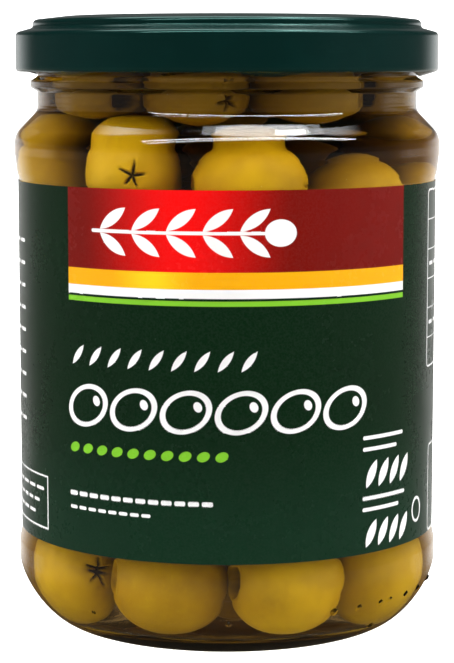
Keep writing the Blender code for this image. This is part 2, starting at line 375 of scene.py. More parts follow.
def fine_relief_group() -> bpy.types.NodeTree:
    """Build the group that gives glass, lacquer, paper and skin their slight unevenness.

    Returns:
        The group. Its inputs are Place, Scale and Detail, and it gives Height.
    """
    tree, takes, gives = new_group(
        "fine relief",
        {"Place": ("Vector", None), "Scale": ("Float", 100.0), "Detail": ("Float", 2.0)},
        {"Height": "Float"},
    )
    texture = tree.add("TexNoise")
    tree.feed(texture.inputs["Vector"], takes["Place"])
    tree.feed(texture.inputs["Scale"], takes["Scale"])
    tree.feed(texture.inputs["Detail"], takes["Detail"])
    tree.feed(gives["Height"], texture.outputs["Fac"])
    return tree.tree


def smudge_group() -> bpy.types.NodeTree:
    """Build the group that varies the gloss of hard surfaces, as handling does.

    Returns:
        The group. Its inputs are Place, Clean and Smudged, and it gives Roughness.
    """
    tree, takes, gives = new_group(
        "smudges",
        {"Place": ("Vector", None), "Clean": ("Float", 0.05), "Smudged": ("Float", 0.2)},
        {"Roughness": "Float"},
    )
    broad = tree.noise(takes["Place"], 45.0, 3.0)
    fine = tree.noise(takes["Place"], 900.0, 2.0)
    share = tree.ease(tree.math("MULTIPLY_ADD", fine, 0.25, broad), 0.5, 0.85)
    span = tree.math("SUBTRACT", takes["Smudged"], takes["Clean"])
    tree.feed(gives["Roughness"], tree.math("MULTIPLY_ADD", span, share, takes["Clean"]))
    return tree.tree


def row_place_group() -> bpy.types.NodeTree:
    """Build the group that gives the place within the nearest shape of a row.

    Returns:
        The group. Its inputs are Place, Middle, Last, Pitch and Turn, and it gives Local.
    """
    tree, takes, gives = new_group(
        "row place",
        {
            "Place": ("Vector", None),
            "Middle": ("Vector", (0.0, 0.0, 0.0)),
            "Last": ("Float", 0.0),
            "Pitch": ("Float", 1.0),
            "Turn": ("Float", 0.0),
        },
        {"Local": "Vector"},
    )
    across, along, _ = tree.parts(tree.vector("SUBTRACT", takes["Place"], takes["Middle"]).outputs[0])
    nearest = tree.math("ROUND", tree.math("DIVIDE", across, takes["Pitch"]))
    index = tree.math("MINIMUM", tree.math("MAXIMUM", nearest, 0.0), takes["Last"])
    own_start = tree.math("MULTIPLY", index, takes["Pitch"])
    turn = tree.add("VectorRotate", rotation_type="Z_AXIS")
    tree.feed(turn.inputs["Vector"], tree.joined(tree.math("SUBTRACT", across, own_start), along))
    tree.feed(turn.inputs["Angle"], tree.math("MULTIPLY", takes["Turn"], -1.0))
    tree.feed(gives["Local"], turn.outputs[0])
    return tree.tree


def mask_group(name: str) -> tuple[Tree, dict, dict]:
    """Start a group that masks a shape on the label's flat plan.

    Args:
        name: The group's name.

    Returns:
        The group's tree, its inputs Local, Half Size, Rounding and Outline, and its output Mask.
    """
    inputs = {
        "Local": ("Vector", None),
        "Half Size": ("Vector", (1.0, 1.0, 0.0)),
        "Rounding": ("Float", 0.0),
        "Outline": ("Float", 0.0),
    }
    return new_group(name, inputs, {"Mask": "Float"})


def panel_mask_group() -> bpy.types.NodeTree:
    """Build the mask of a box with rounded corners, and give the group."""
    tree, takes, gives = mask_group("panel mask")
    folded = tree.vector("ABSOLUTE", takes["Local"])
    past = tree.parts(tree.vector("SUBTRACT", folded.outputs[0], takes["Half Size"]).outputs[0])
    across = tree.math("ADD", past[0], takes["Rounding"])
    along = tree.math("ADD", past[1], takes["Rounding"])
    corner_x = tree.math("MAXIMUM", across, 0.0)
    corner_y = tree.math("MAXIMUM", along, 0.0)
    square_y = tree.math("MULTIPLY", corner_y, corner_y)
    reach = tree.math("SQRT", tree.math("MULTIPLY_ADD", corner_x, corner_x, square_y))
    inner = tree.math("MINIMUM", tree.math("MAXIMUM", across, along), 0.0)
    distance = tree.math("SUBTRACT", tree.math("ADD", reach, inner), takes["Rounding"])
    tree.feed(gives["Mask"], inked(tree, distance, takes["Outline"]))
    return tree.tree


def inked(tree: Tree, distance: bpy.types.NodeSocket, outline: bpy.types.NodeSocket) -> bpy.types.NodeSocket:
    """Turn the distance from a shape's edge into a mask, filled or ruled round the edge.

    Args:
        tree: The group's tree.
        distance: How far outside the edge a place is, in millimetres.
        outline: Half the width of the ruled edge, or 0 for a filled shape.

    Returns:
        The mask's socket.
    """
    filled = tree.ease(distance, INK_SOFT, -INK_SOFT)
    ring = tree.math("SUBTRACT", tree.math("ABSOLUTE", distance), outline)
    ruled = tree.ease(ring, INK_SOFT, -INK_SOFT)
    is_ruled = tree.math("GREATER_THAN", outline, 0.0)
    span = tree.math("SUBTRACT", ruled, filled)
    return tree.math("MULTIPLY_ADD", span, is_ruled, filled)


def oval_mask_group() -> bpy.types.NodeTree:
    """Build the mask of an oval, and give the group."""
    tree, takes, gives = mask_group("oval mask")
    length, width, _ = tree.parts(takes["Half Size"])
    shares = tree.vector("DIVIDE", takes["Local"], tree.joined(length, width, 1.0)).outputs[0]
    past = tree.math("SUBTRACT", tree.vector("LENGTH", shares).outputs["Value"], 1.0)
    distance = tree.math("MULTIPLY", past, tree.math("MINIMUM", length, width))
    tree.feed(gives["Mask"], inked(tree, distance, takes["Outline"]))
    return tree.tree


def leaf_mask_group() -> bpy.types.NodeTree:
    """Build the mask of a pointed leaf, the overlap of two discs, and give the group."""
    tree, takes, gives = mask_group("leaf mask")
    across, along, _ = tree.parts(takes["Local"])
    length, width, _ = tree.parts(takes["Half Size"])
    squares = tree.math("MULTIPLY_ADD", length, length, tree.math("MULTIPLY", width, width))
    disc = tree.math("DIVIDE", squares, tree.math("MULTIPLY", width, 2.0))
    rise = tree.math("ADD", tree.math("ABSOLUTE", along), tree.math("SUBTRACT", disc, width))
    across_square = tree.math("MULTIPLY", across, across)
    reach = tree.math("SQRT", tree.math("MULTIPLY_ADD", rise, rise, across_square))
    tree.feed(gives["Mask"], inked(tree, tree.math("SUBTRACT", reach, disc), takes["Outline"]))
    return tree.tree


@dataclass(frozen=True)
class GlassFinish:
    """Clear container glass. Lamps pass it as if it were open, so what is inside is lit evenly."""

    name: str = "clear glass"
    tint: Colour = (0.985, 0.99, 0.975)
    index: float = 1.5
    shade: Colour = (0.93, 0.94, 0.90)
    waves: float = 70.0
    wave_strength: float = 0.12
    wave_height: float = 0.3 * MM

    def build(self) -> bpy.types.Material:
        """Build the material.

        Returns:
            The glass material.
        """
        material, tree = new_material(self.name)
        place = tree.add("TexCoord").outputs["Object"]
        relief = tree.group(GROUPS["relief"], Place=place, Scale=self.waves, Detail=1.0)
        shader = clear_shader(tree, self.tint, self.index)
        normal = tree.bump(relief.outputs["Height"], self.wave_strength, self.wave_height)
        tree.feed(shader.inputs["Normal"], normal)
        finish_open(tree, shader, self.shade)
        return material


@dataclass(frozen=True)
class BrineFinish:
    """Pale amber brine. It takes up light along the way through it."""

    name: str = "brine"
    index: float = 1.345
    deep: Colour = (0.60, 0.46, 0.16)
    density: float = 60.0

    def build(self) -> bpy.types.Material:
        """Build the material.

        Returns:
            The brine's material.
        """
        material, tree = new_material(self.name)
        leave = finish_open(tree, clear_shader(tree, WHITE, self.index), WHITE)
        depth = tree.shader("VolumeAbsorption", Color=opaque(self.deep), Density=self.density)
        tree.feed(leave.inputs["Volume"], depth.outputs[0])
        return material


def clear_shader(tree: Tree, tint: Colour, index: float) -> bpy.types.Node:
    """Add the shader of a clear material.

    Args:
        tree: The material's tree.
        tint: The colour that light takes on.
        index: The refractive index.

    Returns:
        The shader's node.
    """
    clear = {"Base_Color": opaque(tint), "Roughness": 0.0, "IOR": index, "Transmission_Weight": 1.0}
    return tree.shader("BsdfPrincipled", **clear)


def finish_open(tree: Tree, shader: bpy.types.Node, shade: Colour) -> bpy.types.Node:
    """Let the light of dull surfaces straight through a clear material and end its tree.

    Args:
        tree: The material's tree.
        shader: The clear shader.
        shade: The colour that a lamp's light keeps on its way through.

    Returns:
        The output node.
    """
    path = tree.add("LightPath")
    passes = tree.math("MAXIMUM", path.outputs["Is Shadow Ray"], path.outputs["Is Diffuse Ray"])
    return tree.end(tree.choose(passes, shader, tree.shader("BsdfTransparent", Color=opaque(shade))))


@dataclass(frozen=True)
class OliveFinish:
    """Wet olive skin, mottled yellow green, with its own colour for each olive, and painted shade: near
    black in the cuts, darker near the top under the lid, in the neck row and nearer the axis among the
    crowded olives.
    """

    name: str = "olive skin"
    pale: Colour = (0.47, 0.275, 0.003)
    deep: Colour = (0.30, 0.160, 0.002)
    brown: Colour = (0.17, 0.085, 0.003)
    # Near black: painted shade in the star cuts and pit holes.
    cut: Colour = (0.03, 0.016, 0.004)
    # Painted shade: the colour that the skin is darkened towards under the lid and among the crowded olives.
    shaded: Colour = (0.05, 0.020, 0.001)
    lid_shadow: Run = (91.0 * MM, 97.0 * MM)
    lid_shadow_share: float = 0.65
    # Radii over which the skin darkens towards the axis, painted shade among the crowded olives.
    crowd_shade_reach: Run = (31.0 * MM, 23.0 * MM)
    crowd_shade_share: float = 0.6

    def build(self) -> bpy.types.Material:
        """Build the material.

        Returns:
            The olives' material.
        """
        material, tree = new_material(self.name)
        place = tree.add("TexCoord").outputs["Object"]
        # Each olive's random colour, lowered by painted shade in the neck row.
        tone_and_shade = tree.add("Attribute", attribute_name="tone_and_shade").outputs["Fac"]
        cut = tree.add("Attribute", attribute_name="cut").outputs["Fac"]
        broad = tree.noise(place, 130.0, 3.0, 0.55)
        speckle = tree.noise(place, 1500.0, 2.0, 0.6)
        share = tree.math("MULTIPLY_ADD", broad, 0.8, tree.math("MULTIPLY", tone_and_shade, 0.6))
        skin = tree.mix(tree.ease(share, 0.35, 1.0), opaque(self.deep), opaque(self.pale))
        bruise = tree.ease(tree.noise(place, 75.0, 4.0, 0.6), 0.60, 0.78, 0.0, 0.45)
        skin = tree.mix(bruise, skin, opaque(self.brown))
        skin = tree.mix(tree.ease(speckle, 0.58, 0.75, 0.0, 0.28), skin, opaque(self.pale))
        # Painted shade: the cuts and holes are darkened towards near black.
        skin = tree.mix(cut, skin, opaque(self.cut))
        # Painted shade: darker near the top in the lid's shadow, and darker nearer the axis among the
        # crowded olives.
        level_place = tree.vector("MULTIPLY", place, (1.0, 1.0, 0.0)).outputs[0]
        reach = tree.vector("LENGTH", level_place).outputs["Value"]
        lid_shade_mask = tree.ease(tree.parts(place)[2], *self.lid_shadow, 0.0, self.lid_shadow_share)
        crowd_shade_mask = tree.ease(reach, *self.crowd_shade_reach, 0.0, self.crowd_shade_share)
        skin = tree.mix(tree.math("MAXIMUM", lid_shade_mask, crowd_shade_mask), skin, opaque(self.shaded))
        shader = tree.shader(
            "BsdfPrincipled",
            IOR=1.2,
            Specular_IOR_Level=0.3,
            Subsurface_Weight=0.15,
            Subsurface_Radius=(1.0, 0.7, 0.2),
            Subsurface_Scale=1.5 * MM,
        )
        tree.feed(shader.inputs["Base Color"], skin)
        tree.feed(shader.inputs["Roughness"], tree.ease(broad, 0.3, 0.7, 0.38, 0.5))
        fine = tree.group(GROUPS["relief"], Place=place, Scale=1300.0, Detail=2.0)
        dents = tree.group(GROUPS["relief"], Place=place, Scale=180.0, Detail=2.0)
        normal = tree.bump(dents.outputs["Height"], 0.25, 0.8 * MM)
        normal = tree.bump(fine.outputs["Height"], 0.12, 0.15 * MM, normal)
        tree.feed(shader.inputs["Normal"], normal)
        tree.end(shader)
        return material


@dataclass(frozen=True)
class LacquerFinish:
    """Glossy lacquer on tinplate."""

    name: str
    colour: Colour
    metallic: float = 0.75
    coat: float = 0.12
    clean: float = 0.18
    smudged: float = 0.27
    coat_roughness: float = 0.06
    worn_share: float = 0.35
    lightening: float = 1.5

    def build(self) -> bpy.types.Material:
        """Build the material.

        Returns:
            The lacquer's material.
        """
        material, tree = new_material(self.name)
        place = tree.add("TexCoord").outputs["Object"]
        shader = tree.shader(
            "BsdfPrincipled",
            Metallic=self.metallic,
            Coat_Weight=self.coat,
            Coat_Roughness=self.coat_roughness,
        )
        worn = tree.ease(tree.noise(place, 220.0, 4.0), 0.45, 0.8, 0.0, self.worn_share)
        lighter = tuple(min(1.0, part * self.lightening) for part in self.colour)
        tree.feed(shader.inputs["Base Color"], tree.mix(worn, opaque(self.colour), opaque(lighter)))
        smudges = tree.group(GROUPS["smudges"], Place=place, Clean=self.clean, Smudged=self.smudged)
        tree.feed(shader.inputs["Roughness"], smudges.outputs["Roughness"])
        relief = tree.group(GROUPS["relief"], Place=place, Scale=900.0, Detail=1.0)
        tree.feed(shader.inputs["Normal"], tree.bump(relief.outputs["Height"], 0.08, 0.08 * MM))
        tree.end(shader)
        return material


class Ink(Enum):
    """The colours that the label is printed in, and a paler green that is painted light from the floor."""

    GREEN = (0.002, 0.020, 0.0055)
    FLOOR_LIT_GREEN = (0.005, 0.033, 0.014)
    RED = (0.92, 0.0, 0.0)
    DEEP_RED = (0.20, 0.003, 0.0)
    ORANGE = (0.98, 0.46, 0.0)
    YELLOW = (0.98, 0.72, 0.01)
    LIME = (0.24, 0.62, 0.03)
    WHITE = (0.97, 0.97, 0.97)


class Form(Enum):
    """The plain forms that the print is made of."""

    PANEL = "panel"
    LEAF = "leaf"
    OVAL = "oval"


@dataclass(frozen=True)
class Motif:
    """One printed shape, or a row of it, on the label's flat plan.

    Places are in millimetres from the front's middle and the base, and turns in degrees. A row has its
    first shape at the middle that is given, and goes on to the right.
    """

    ink: Ink
    middle: tuple[float, float]
    half: tuple[float, float]
    form: Form = Form.PANEL
    rounding: float = 0.0
    turn: float = 0.0
    outline: float = 0.0
    count: int = 1
    pitch: float = 1.0
    glow: Ink | None = None
    glow_at: float = 0.0
    glow_reach: float = 1.0


@dataclass(frozen=True)
class Area:
    """A part of the label's plan that has a material of its own, in millimetres from the front's middle."""

    name: str
    left: float
    right: float
    low: float = 0.0
    high: float = 120.0

    def holds(self, motif: Motif) -> bool:
        """Say whether any of a motif's shapes may reach into the area.

        Args:
            motif: The printed shape or row.

        Returns:
            Whether it has to be printed here.
        """
        margin = AREA_MARGIN + motif.outline
        far, tall = (max(motif.half), max(motif.half)) if motif.turn else motif.half
        left, height = motif.middle
        right = left + motif.pitch * (motif.count - 1)
        across = left - far < self.right + margin and right + far > self.left - margin
        return across and self.low - margin < height + tall and height - tall < self.high + margin


AREAS = (
    Area("label left", -140.0, -36.0),
    Area("label front top", -36.0, 44.0, 61.0, 120.0),
    Area("label front", -36.0, 44.0, 34.0, 61.0),
    Area("label front foot", -36.0, 44.0, 0.0, 34.0),
    Area("label right", 44.0, 140.0),
)


@dataclass(frozen=True)
class PaperFinish:
    """Coated paper, printed all over in dark green, with plain generic fields, rules and a sprig, and
    painted light from the floor that turns its green paler towards the bottom.
    """

    area: Area
    radius: float = 40.2
    height: float = 66.35
    foot: float = 18.15
    # Heights in mm over which the green turns paler, painted light from the floor.
    fade: Run = (46.0, 19.0)
    clean: float = 0.24
    smudged: float = 0.32
    gloss: float = 0.18
    sheen: float = 0.3
    sheen_roughness: float = 0.3

    def motifs(self) -> list[Motif]:
        """List what is printed, from the bottom layer up.

        Returns:
            The printed shapes.
        """
        white, lime, red = Ink.WHITE, Ink.LIME, Ink.RED
        shapes = [
            Motif(Ink.DEEP_RED, (2.7, 78.3), (34.7, 8.3), glow=red, glow_at=-8.0, glow_reach=21.0),
            Motif(Ink.ORANGE, (2.7, 68.6), (34.7, 1.5), glow=Ink.YELLOW, glow_at=-13.5, glow_reach=9.0),
            Motif(white, (2.7, 66.3), (34.7, 0.8)),
            Motif(lime, (2.7, 64.6), (34.7, 0.45)),
        ]
        shapes += self.sprig(white, -26.0, 77.0, 5)
        shapes += [
            Motif(white, (-27.4, 45.3), (4.4, 3.3), Form.OVAL, turn=24.0, outline=0.42, count=6, pitch=10.0),
            Motif(white, (-25.2, 46.3), (0.75, 0.95), Form.OVAL, turn=24.0, count=6, pitch=10.0),
            Motif(white, (-29.6, 54.4), (2.3, 0.62), Form.LEAF, turn=52.0, count=9, pitch=4.2),
            Motif(lime, (-30.6, 37.4), (1.2, 0.85), Form.OVAL, turn=24.0, count=10, pitch=3.3),
            Motif(white, (-31.0, 28.9), (1.0, 0.42), rounding=0.3, count=12, pitch=2.5),
            Motif(white, (-31.0, 26.3), (0.9, 0.32), rounding=0.3, count=8, pitch=2.3),
            Motif(white, (32.2, 39.3), (5.6, 0.35), rounding=0.3),
            Motif(white, (31.2, 37.2), (4.6, 0.35), rounding=0.3),
            Motif(white, (28.8, 32.6), (2.8, 0.95), Form.LEAF, turn=62.0, count=4, pitch=3.2),
            Motif(white, (32.6, 28.2), (6.0, 0.35), rounding=0.3),
            Motif(white, (31.6, 26.1), (5.0, 0.35), rounding=0.3),
            Motif(white, (28.8, 21.6), (2.8, 0.95), Form.LEAF, turn=62.0, count=4, pitch=3.2),
            Motif(white, (43.7, 23.7), (1.8, 2.2), Form.OVAL, outline=0.22),
            Motif(white, (-54.6, 25.6), (15.2, 4.9), outline=0.16),
            Motif(white, (-66.5, 28.0), (1.6, 0.32), rounding=0.3, count=7, pitch=4.0),
            Motif(white, (-66.5, 25.6), (1.2, 0.32), rounding=0.3, count=8, pitch=3.2),
            Motif(white, (-66.5, 23.2), (1.6, 0.32), rounding=0.3, count=6, pitch=4.0),
            Motif(white, (70.4, 66.5), (21.5, 16.6), rounding=1.0, outline=0.17),
            Motif(white, (70.4, 26.5), (19.5, 8.2), rounding=1.0, outline=0.17),
        ]
        shapes += [Motif(white, (70.4, height), (21.5, 0.09)) for height in (55.4, 61.0, 66.5, 72.0, 77.6)]
        bar = {"ink": white, "rounding": 0.3}
        for height in (58.2, 69.3):
            shapes.append(Motif(middle=(51.6, height), half=(1.5, 0.35), count=9, pitch=4.4, **bar))
        for row in range(9):
            height = 40.0 + 4.2 * row
            shapes.append(Motif(middle=(-70.0, height), half=(1.8, 0.35), count=5, pitch=4.6, **bar))
        shapes += self.sprig(lime, 93.0, 50.0, 4)
        return shapes

    @staticmethod
    def sprig(ink: Ink, left: float, height: float, pairs: int) -> list[Motif]:
        """Draw a level sprig with pairs of leaves and an olive at its tip.

        Args:
            ink: Its ink.
            left: Where its stalk starts.
            height: Its stalk's height.
            pairs: The number of pairs of leaves.

        Returns:
            Its shapes.
        """
        pitch = 6.6
        reach = pitch * pairs / 2.0
        leaves = {"ink": ink, "half": (3.3, 1.05), "form": Form.LEAF, "count": pairs, "pitch": pitch}
        return [
            Motif(ink, (left + reach, height), (reach, 0.32), rounding=0.3),
            Motif(middle=(left + 4.6, height + 2.3), turn=36.0, **leaves),
            Motif(middle=(left + 4.6, height - 2.3), turn=-36.0, **leaves),
            Motif(ink, (left + 2.0 * reach + 2.6, height), (2.9, 2.4), Form.OVAL),
        ]

    def build(self) -> bpy.types.Material:
        """Build the material.

        Returns:
            The printed paper.
        """
        material, tree = new_material(self.area.name)
        unit = tree.add("UVMap", uv_map="wrap").outputs[0]
        place = tree.add("VectorMath", operation="MULTIPLY_ADD")
        tree.feed(place.inputs[0], unit)
        place.inputs[1].default_value = (math.tau * self.radius, self.height, 0.0)
        place.inputs[2].default_value = (-math.pi * self.radius, self.foot, 0.0)
        flat = place.outputs[0]
        # Painted light from the floor: the green turns paler towards the bottom.
        fade = tree.ease(tree.parts(flat)[1], *self.fade)
        colour = tree.mix(fade, opaque(Ink.GREEN.value), opaque(Ink.FLOOR_LIT_GREEN.value))
        for motif in filter(self.area.holds, self.motifs()):
            colour = self.print_motif(tree, flat, colour, motif)
        solid = tree.add("TexCoord").outputs["Object"]
        grain = tree.noise(solid, 2500.0, 2.0)
        colour = tree.mix(tree.ease(grain, 0.3, 0.7, 0.0, 0.012), colour, (0.5, 0.5, 0.5, 1.0))
        shader = tree.shader(
            "BsdfPrincipled",
            Specular_IOR_Level=self.gloss,
            Sheen_Weight=self.sheen,
            Sheen_Roughness=self.sheen_roughness,
        )
        tree.feed(shader.inputs["Base Color"], colour)
        smudges = tree.group(GROUPS["smudges"], Place=solid, Clean=self.clean, Smudged=self.smudged)
        tree.feed(shader.inputs["Roughness"], smudges.outputs["Roughness"])
        broad = tree.group(GROUPS["relief"], Place=solid, Scale=110.0, Detail=2.0)
        fibres = tree.group(GROUPS["relief"], Place=solid, Scale=1800.0, Detail=2.0)
        normal = tree.bump(broad.outputs["Height"], 0.10, 0.3 * MM)
        normal = tree.bump(fibres.outputs["Height"], 0.04, 0.03 * MM, normal)
        tree.feed(shader.inputs["Normal"], normal)
        tree.end(shader)
        return material

    def print_motif(self, tree: Tree, flat: object, under: object, motif: Motif) -> bpy.types.NodeSocket:
        """Print one shape over what is there.

        Args:
            tree: The material's tree.
            flat: The socket of the place on the label's plan, in millimetres.
            under: The colour so far.
            motif: The shape to print.

        Returns:
            The colour with the shape printed on it.
        """
        row = tree.group(
            GROUPS["row"],
            Place=flat,
            Middle=(*motif.middle, 0.0),
            Last=motif.count - 1.0,
            Pitch=motif.pitch,
            Turn=math.radians(motif.turn),
        )
        mask = tree.group(
            GROUPS[motif.form.value],
            Local=row.outputs["Local"],
            Half_Size=(*motif.half, 0.0),
            Rounding=motif.rounding,
            Outline=motif.outline,
        )
        ink = opaque(motif.ink.value)
        if motif.glow is not None:
            away = tree.math("ABSOLUTE", tree.math("SUBTRACT", tree.parts(flat)[0], motif.glow_at))
            ink = tree.mix(tree.ease(away, motif.glow_reach, 0.0), ink, opaque(motif.glow.value))
        return tree.mix(mask.outputs["Mask"], under, ink)


@dataclass(frozen=True)
class Backdrop:
    """The white surround. It is bright behind the jar, dim at its sides, and dark on the camera's side."""

    back: float = 1.0
    side: float = 0.08
    front_share: float = 0.2
    lean: float = 0.2
    wide: float = 0.75
    broad_edge: Run = (0.5, 0.95)
    narrow_edge: Run = (0.6, 0.95)
    front_edge: Run = (-0.9, -0.35)
    wide_edge: Run = (0.25, 0.55)

    def level(
        self,
        tree: Tree,
        across: bpy.types.NodeSocket,
        back: bpy.types.NodeSocket,
    ) -> bpy.types.NodeSocket:
        """Give the light that comes from one direction round the jar.

        Args:
            tree: The tree that needs it.
            across: The direction's part to the right.
            back: The direction's part away from the camera.

        Returns:
            The level of light.
        """
        leaning = tree.math("MULTIPLY_ADD", across, self.lean, back)
        broad = tree.ease(leaning, *self.broad_edge, self.side, self.back)
        narrow = tree.ease(back, *self.narrow_edge, self.side, self.back)
        glossy = tree.add("LightPath").outputs["Is Glossy Ray"]
        behind = tree.math("MULTIPLY_ADD", glossy, tree.math("SUBTRACT", narrow, broad), broad)
        level = tree.math("MULTIPLY", behind, tree.ease(back, *self.front_edge, self.front_share, 1.0))
        wide = tree.math("MULTIPLY", self.through(tree), tree.ease(back, *self.wide_edge, 0.0, self.wide))
        return tree.math("MAXIMUM", level, wide)

    @staticmethod
    def through(tree: Tree) -> bpy.types.NodeSocket:
        """Mark what is seen straight through the glass.

        Args:
            tree: The tree that needs it.

        Returns:
            One for such a view, else zero.
        """
        path = tree.add("LightPath")
        first = tree.math("LESS_THAN", path.outputs["Diffuse Depth"], 0.5)
        return tree.math("MULTIPLY", path.outputs["Is Transmission Ray"], first)

    def unseen(self, tree: Tree) -> bpy.types.NodeSocket:
        """Tell light that falls on a dull surface from light that is seen in or through the glass.

        Args:
            tree: The tree that needs it.

        Returns:
            One where a surface is lit, and zero in a mirrored view and in one straight through the glass.
        """
        seen = tree.math("MAXIMUM", self.through(tree), tree.add("LightPath").outputs["Is Glossy Ray"])
        return tree.math("SUBTRACT", 1.0, seen)


@dataclass(frozen=True)
class FloorFinish:
    """A pale matt floor, which the camera sees near white and the jar sees dim."""

    name: str = "pale floor"
    colour: Colour = (0.78, 0.78, 0.78)
    near_jar: Colour = (0.05, 0.04, 0.03)
    fill: float = 0.95
    glow: float = 0.95
    flank: float = 0.04
    near_edge: Run = (0.045, 0.08)
    shadow_end: Run = (0.65, 0.40)
    shadow_side: Run = (0.75, 0.95)

    def build(self) -> bpy.types.Material:
        """Build the material.

        Returns:
            The floor's material.
        """
        material, tree = new_material(self.name)
        place = tree.add("TexCoord").outputs["Object"]
        darker = tuple(part * 0.97 for part in self.colour)
        mottle = tree.ease(tree.noise(place, 30.0, 2.0), 0.3, 0.7)
        pale = tree.shader(
            "BsdfPrincipled",
            Roughness=0.7,
            Emission_Color=opaque(WHITE),
            Emission_Strength=self.glow,
        )
        tree.feed(pale.inputs["Base Color"], tree.mix(mottle, opaque(self.colour), opaque(darker)))
        far = tree.add("Emission")
        tree.feed(far.inputs["Strength"], self.level(tree, place))
        near = tree.shader("BsdfDiffuse", Color=opaque(self.near_jar))
        dim = tree.add("AddShader")
        tree.feed(dim.inputs[0], far.outputs[0])
        tree.feed(dim.inputs[1], near.outputs[0])
        tree.end(tree.choose(tree.add("LightPath").outputs["Is Camera Ray"], dim, pale))
        return material

    def level(self, tree: Tree, place: bpy.types.NodeSocket) -> bpy.types.NodeSocket:
        """Work out the light that the jar gets from a place on the floor.

        Args:
            tree: The material's tree.
            place: The place's socket.

        Returns:
            The level of light.
        """
        across, back, _ = tree.parts(place)
        away = tree.vector("LENGTH", place).outputs["Value"]
        nearest = tree.math("MINIMUM", tree.math("MAXIMUM", across, -self.flank), self.flank)
        beyond = tree.joined(tree.math("SUBTRACT", across, nearest), back)
        heading = tree.parts(tree.vector("NORMALIZE", beyond).outputs[0])
        backdrop = Backdrop()
        level = backdrop.level(tree, heading[0], heading[1])
        level = tree.math("MULTIPLY", level, tree.ease(away, *self.near_edge))
        straight = tree.ease(tree.math("DIVIDE", back, away), *self.shadow_side)
        shadow = tree.math("MULTIPLY", straight, tree.ease(away, *self.shadow_end))
        level = tree.math("MULTIPLY", level, tree.math("SUBTRACT", 1.0, shadow))
        return tree.math("MULTIPLY_ADD", backdrop.unseen(tree), self.fill, level)


GROUPS = {
    "relief": fine_relief_group(),
    "smudges": smudge_group(),
    "row": row_place_group(),
    "panel": panel_mask_group(),
    "oval": oval_mask_group(),
    "leaf": leaf_mask_group(),
}


class Outline:
    """A half outline in radius and height, drawn as straight runs and rounded corners."""

    def __init__(self) -> None:
        """Start an empty outline."""
        self.corners: list[Corner] = []

    def to(self, radius: float, height: float, rounding: float = 0.0) -> "Outline":
        """Go on to a corner.

        Args:
            radius: The corner's distance from the axis.
            height: The corner's height.
            rounding: The radius of the arc that takes the corner's place, or 0 for a sharp one.

        Returns:
            The outline, so that calls can follow each other.
        """
        self.corners.append((radius, height, rounding))
        return self

    def points(self, arc_step: float = math.radians(9.0)) -> list[Vector]:
        """Work the corners out into points.

        Args:
            arc_step: The most that an arc turns between two points.

        Returns:
            The points, in radius and height.
        """
        found = []
        for index, (radius, height, rounding) in enumerate(self.corners):
            corner = Vector((radius, height))
            if rounding == 0.0:
                found.append(corner)
                continue
            before = (Vector(self.corners[index - 1][:2]) - corner).normalized()
            after = (Vector(self.corners[index + 1][:2]) - corner).normalized()
            half = before.angle(after) / 2.0
            middle = corner + (before + after).normalized() * (rounding / math.sin(half))
            spoke = corner + before * (rounding / math.tan(half)) - middle
            sweep = spoke.angle_signed(corner + after * (rounding / math.tan(half)) - middle)
            count = max(2, math.ceil(abs(sweep) / arc_step))
            for step in range(count + 1):
                found.append(middle + Matrix.Rotation(-sweep * step / count, 2) @ spoke)
        return found


def filled_in(points: list[Vector], low: float, high: float, inner: float, longest: float) -> list[Vector]:
    """Add points to the runs of an outline that lie between two heights and outside a radius.

    Args:
        points: The outline's points.
        low: The lower height.
        high: The upper height.
        inner: The radius that both ends of a run are outside.
        longest: The longest run to leave there.

    Returns:
        The outline with the added points.
    """
    found = [points[0]]
    for start, end in zip(points, points[1:]):
        inside = all(low <= p.y <= high and p.x >= inner for p in (start, end))
        count = max(1, math.ceil((end - start).length / longest)) if inside else 1
        found.extend(start.lerp(end, (step + 1) / count) for step in range(count))
    return found


def spun(points: list[Vector], steps: int, closed: bool = False) -> bmesh.types.BMesh:
    """Spin an outline about Z.

    Args:
        points: The outline, in radius and height.
        steps: The number of steps in the full turn.
        closed: Whether the outline's last point joins its first.

    Returns:
        The turned shape, with its faces pointing out.
    """
    bm = bmesh.new()
    verts = [bm.verts.new((p.x, 0.0, p.y)) for p in points]
    pairs = list(zip(verts, verts[1:]))
    if closed:
        pairs.append((verts[-1], verts[0]))
    edges = [bm.edges.new(pair) for pair in pairs]
    bmesh.ops.spin(
        bm,
        geom=verts + edges,
        cent=(0.0, 0.0, 0.0),
        axis=(0.0, 0.0, 1.0),
        angle=math.tau,
        steps=steps,
        use_merge=True,
    )
    bmesh.ops.remove_doubles(bm, verts=bm.verts, dist=MERGE)
    bmesh.ops.recalc_face_normals(bm, faces=bm.faces)
    return bm


def make_piece(
    name: str,
    bm: bmesh.types.BMesh,
    slot: Slot,
    *materials: bpy.types.Material,
) -> bpy.types.Object:
    """Turn a bmesh into a smooth piece of the object that rides on its body.

    Args:
        name: The piece's name.
        bm: The shape, which is freed.
        slot: The record's slot for the piece; not used.
        materials: The piece's materials.

    Returns:
        The new object.
    """
    for edge in bm.edges:
        edge.smooth = edge.calc_face_angle(0.0) < SHARP_ANGLE
    for face in bm.faces:
        face.smooth = True
    mesh = bpy.data.meshes.new(name)
    bm.to_mesh(mesh)
    bm.free()
    piece = bpy.data.objects.new(name, mesh)
    bpy.context.scene.collection.objects.link(piece)
    for material in materials:
        mesh.materials.append(material)
    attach(piece, BODY)
    LOG.info("%s: %d faces", name, len(mesh.polygons))
    return piece


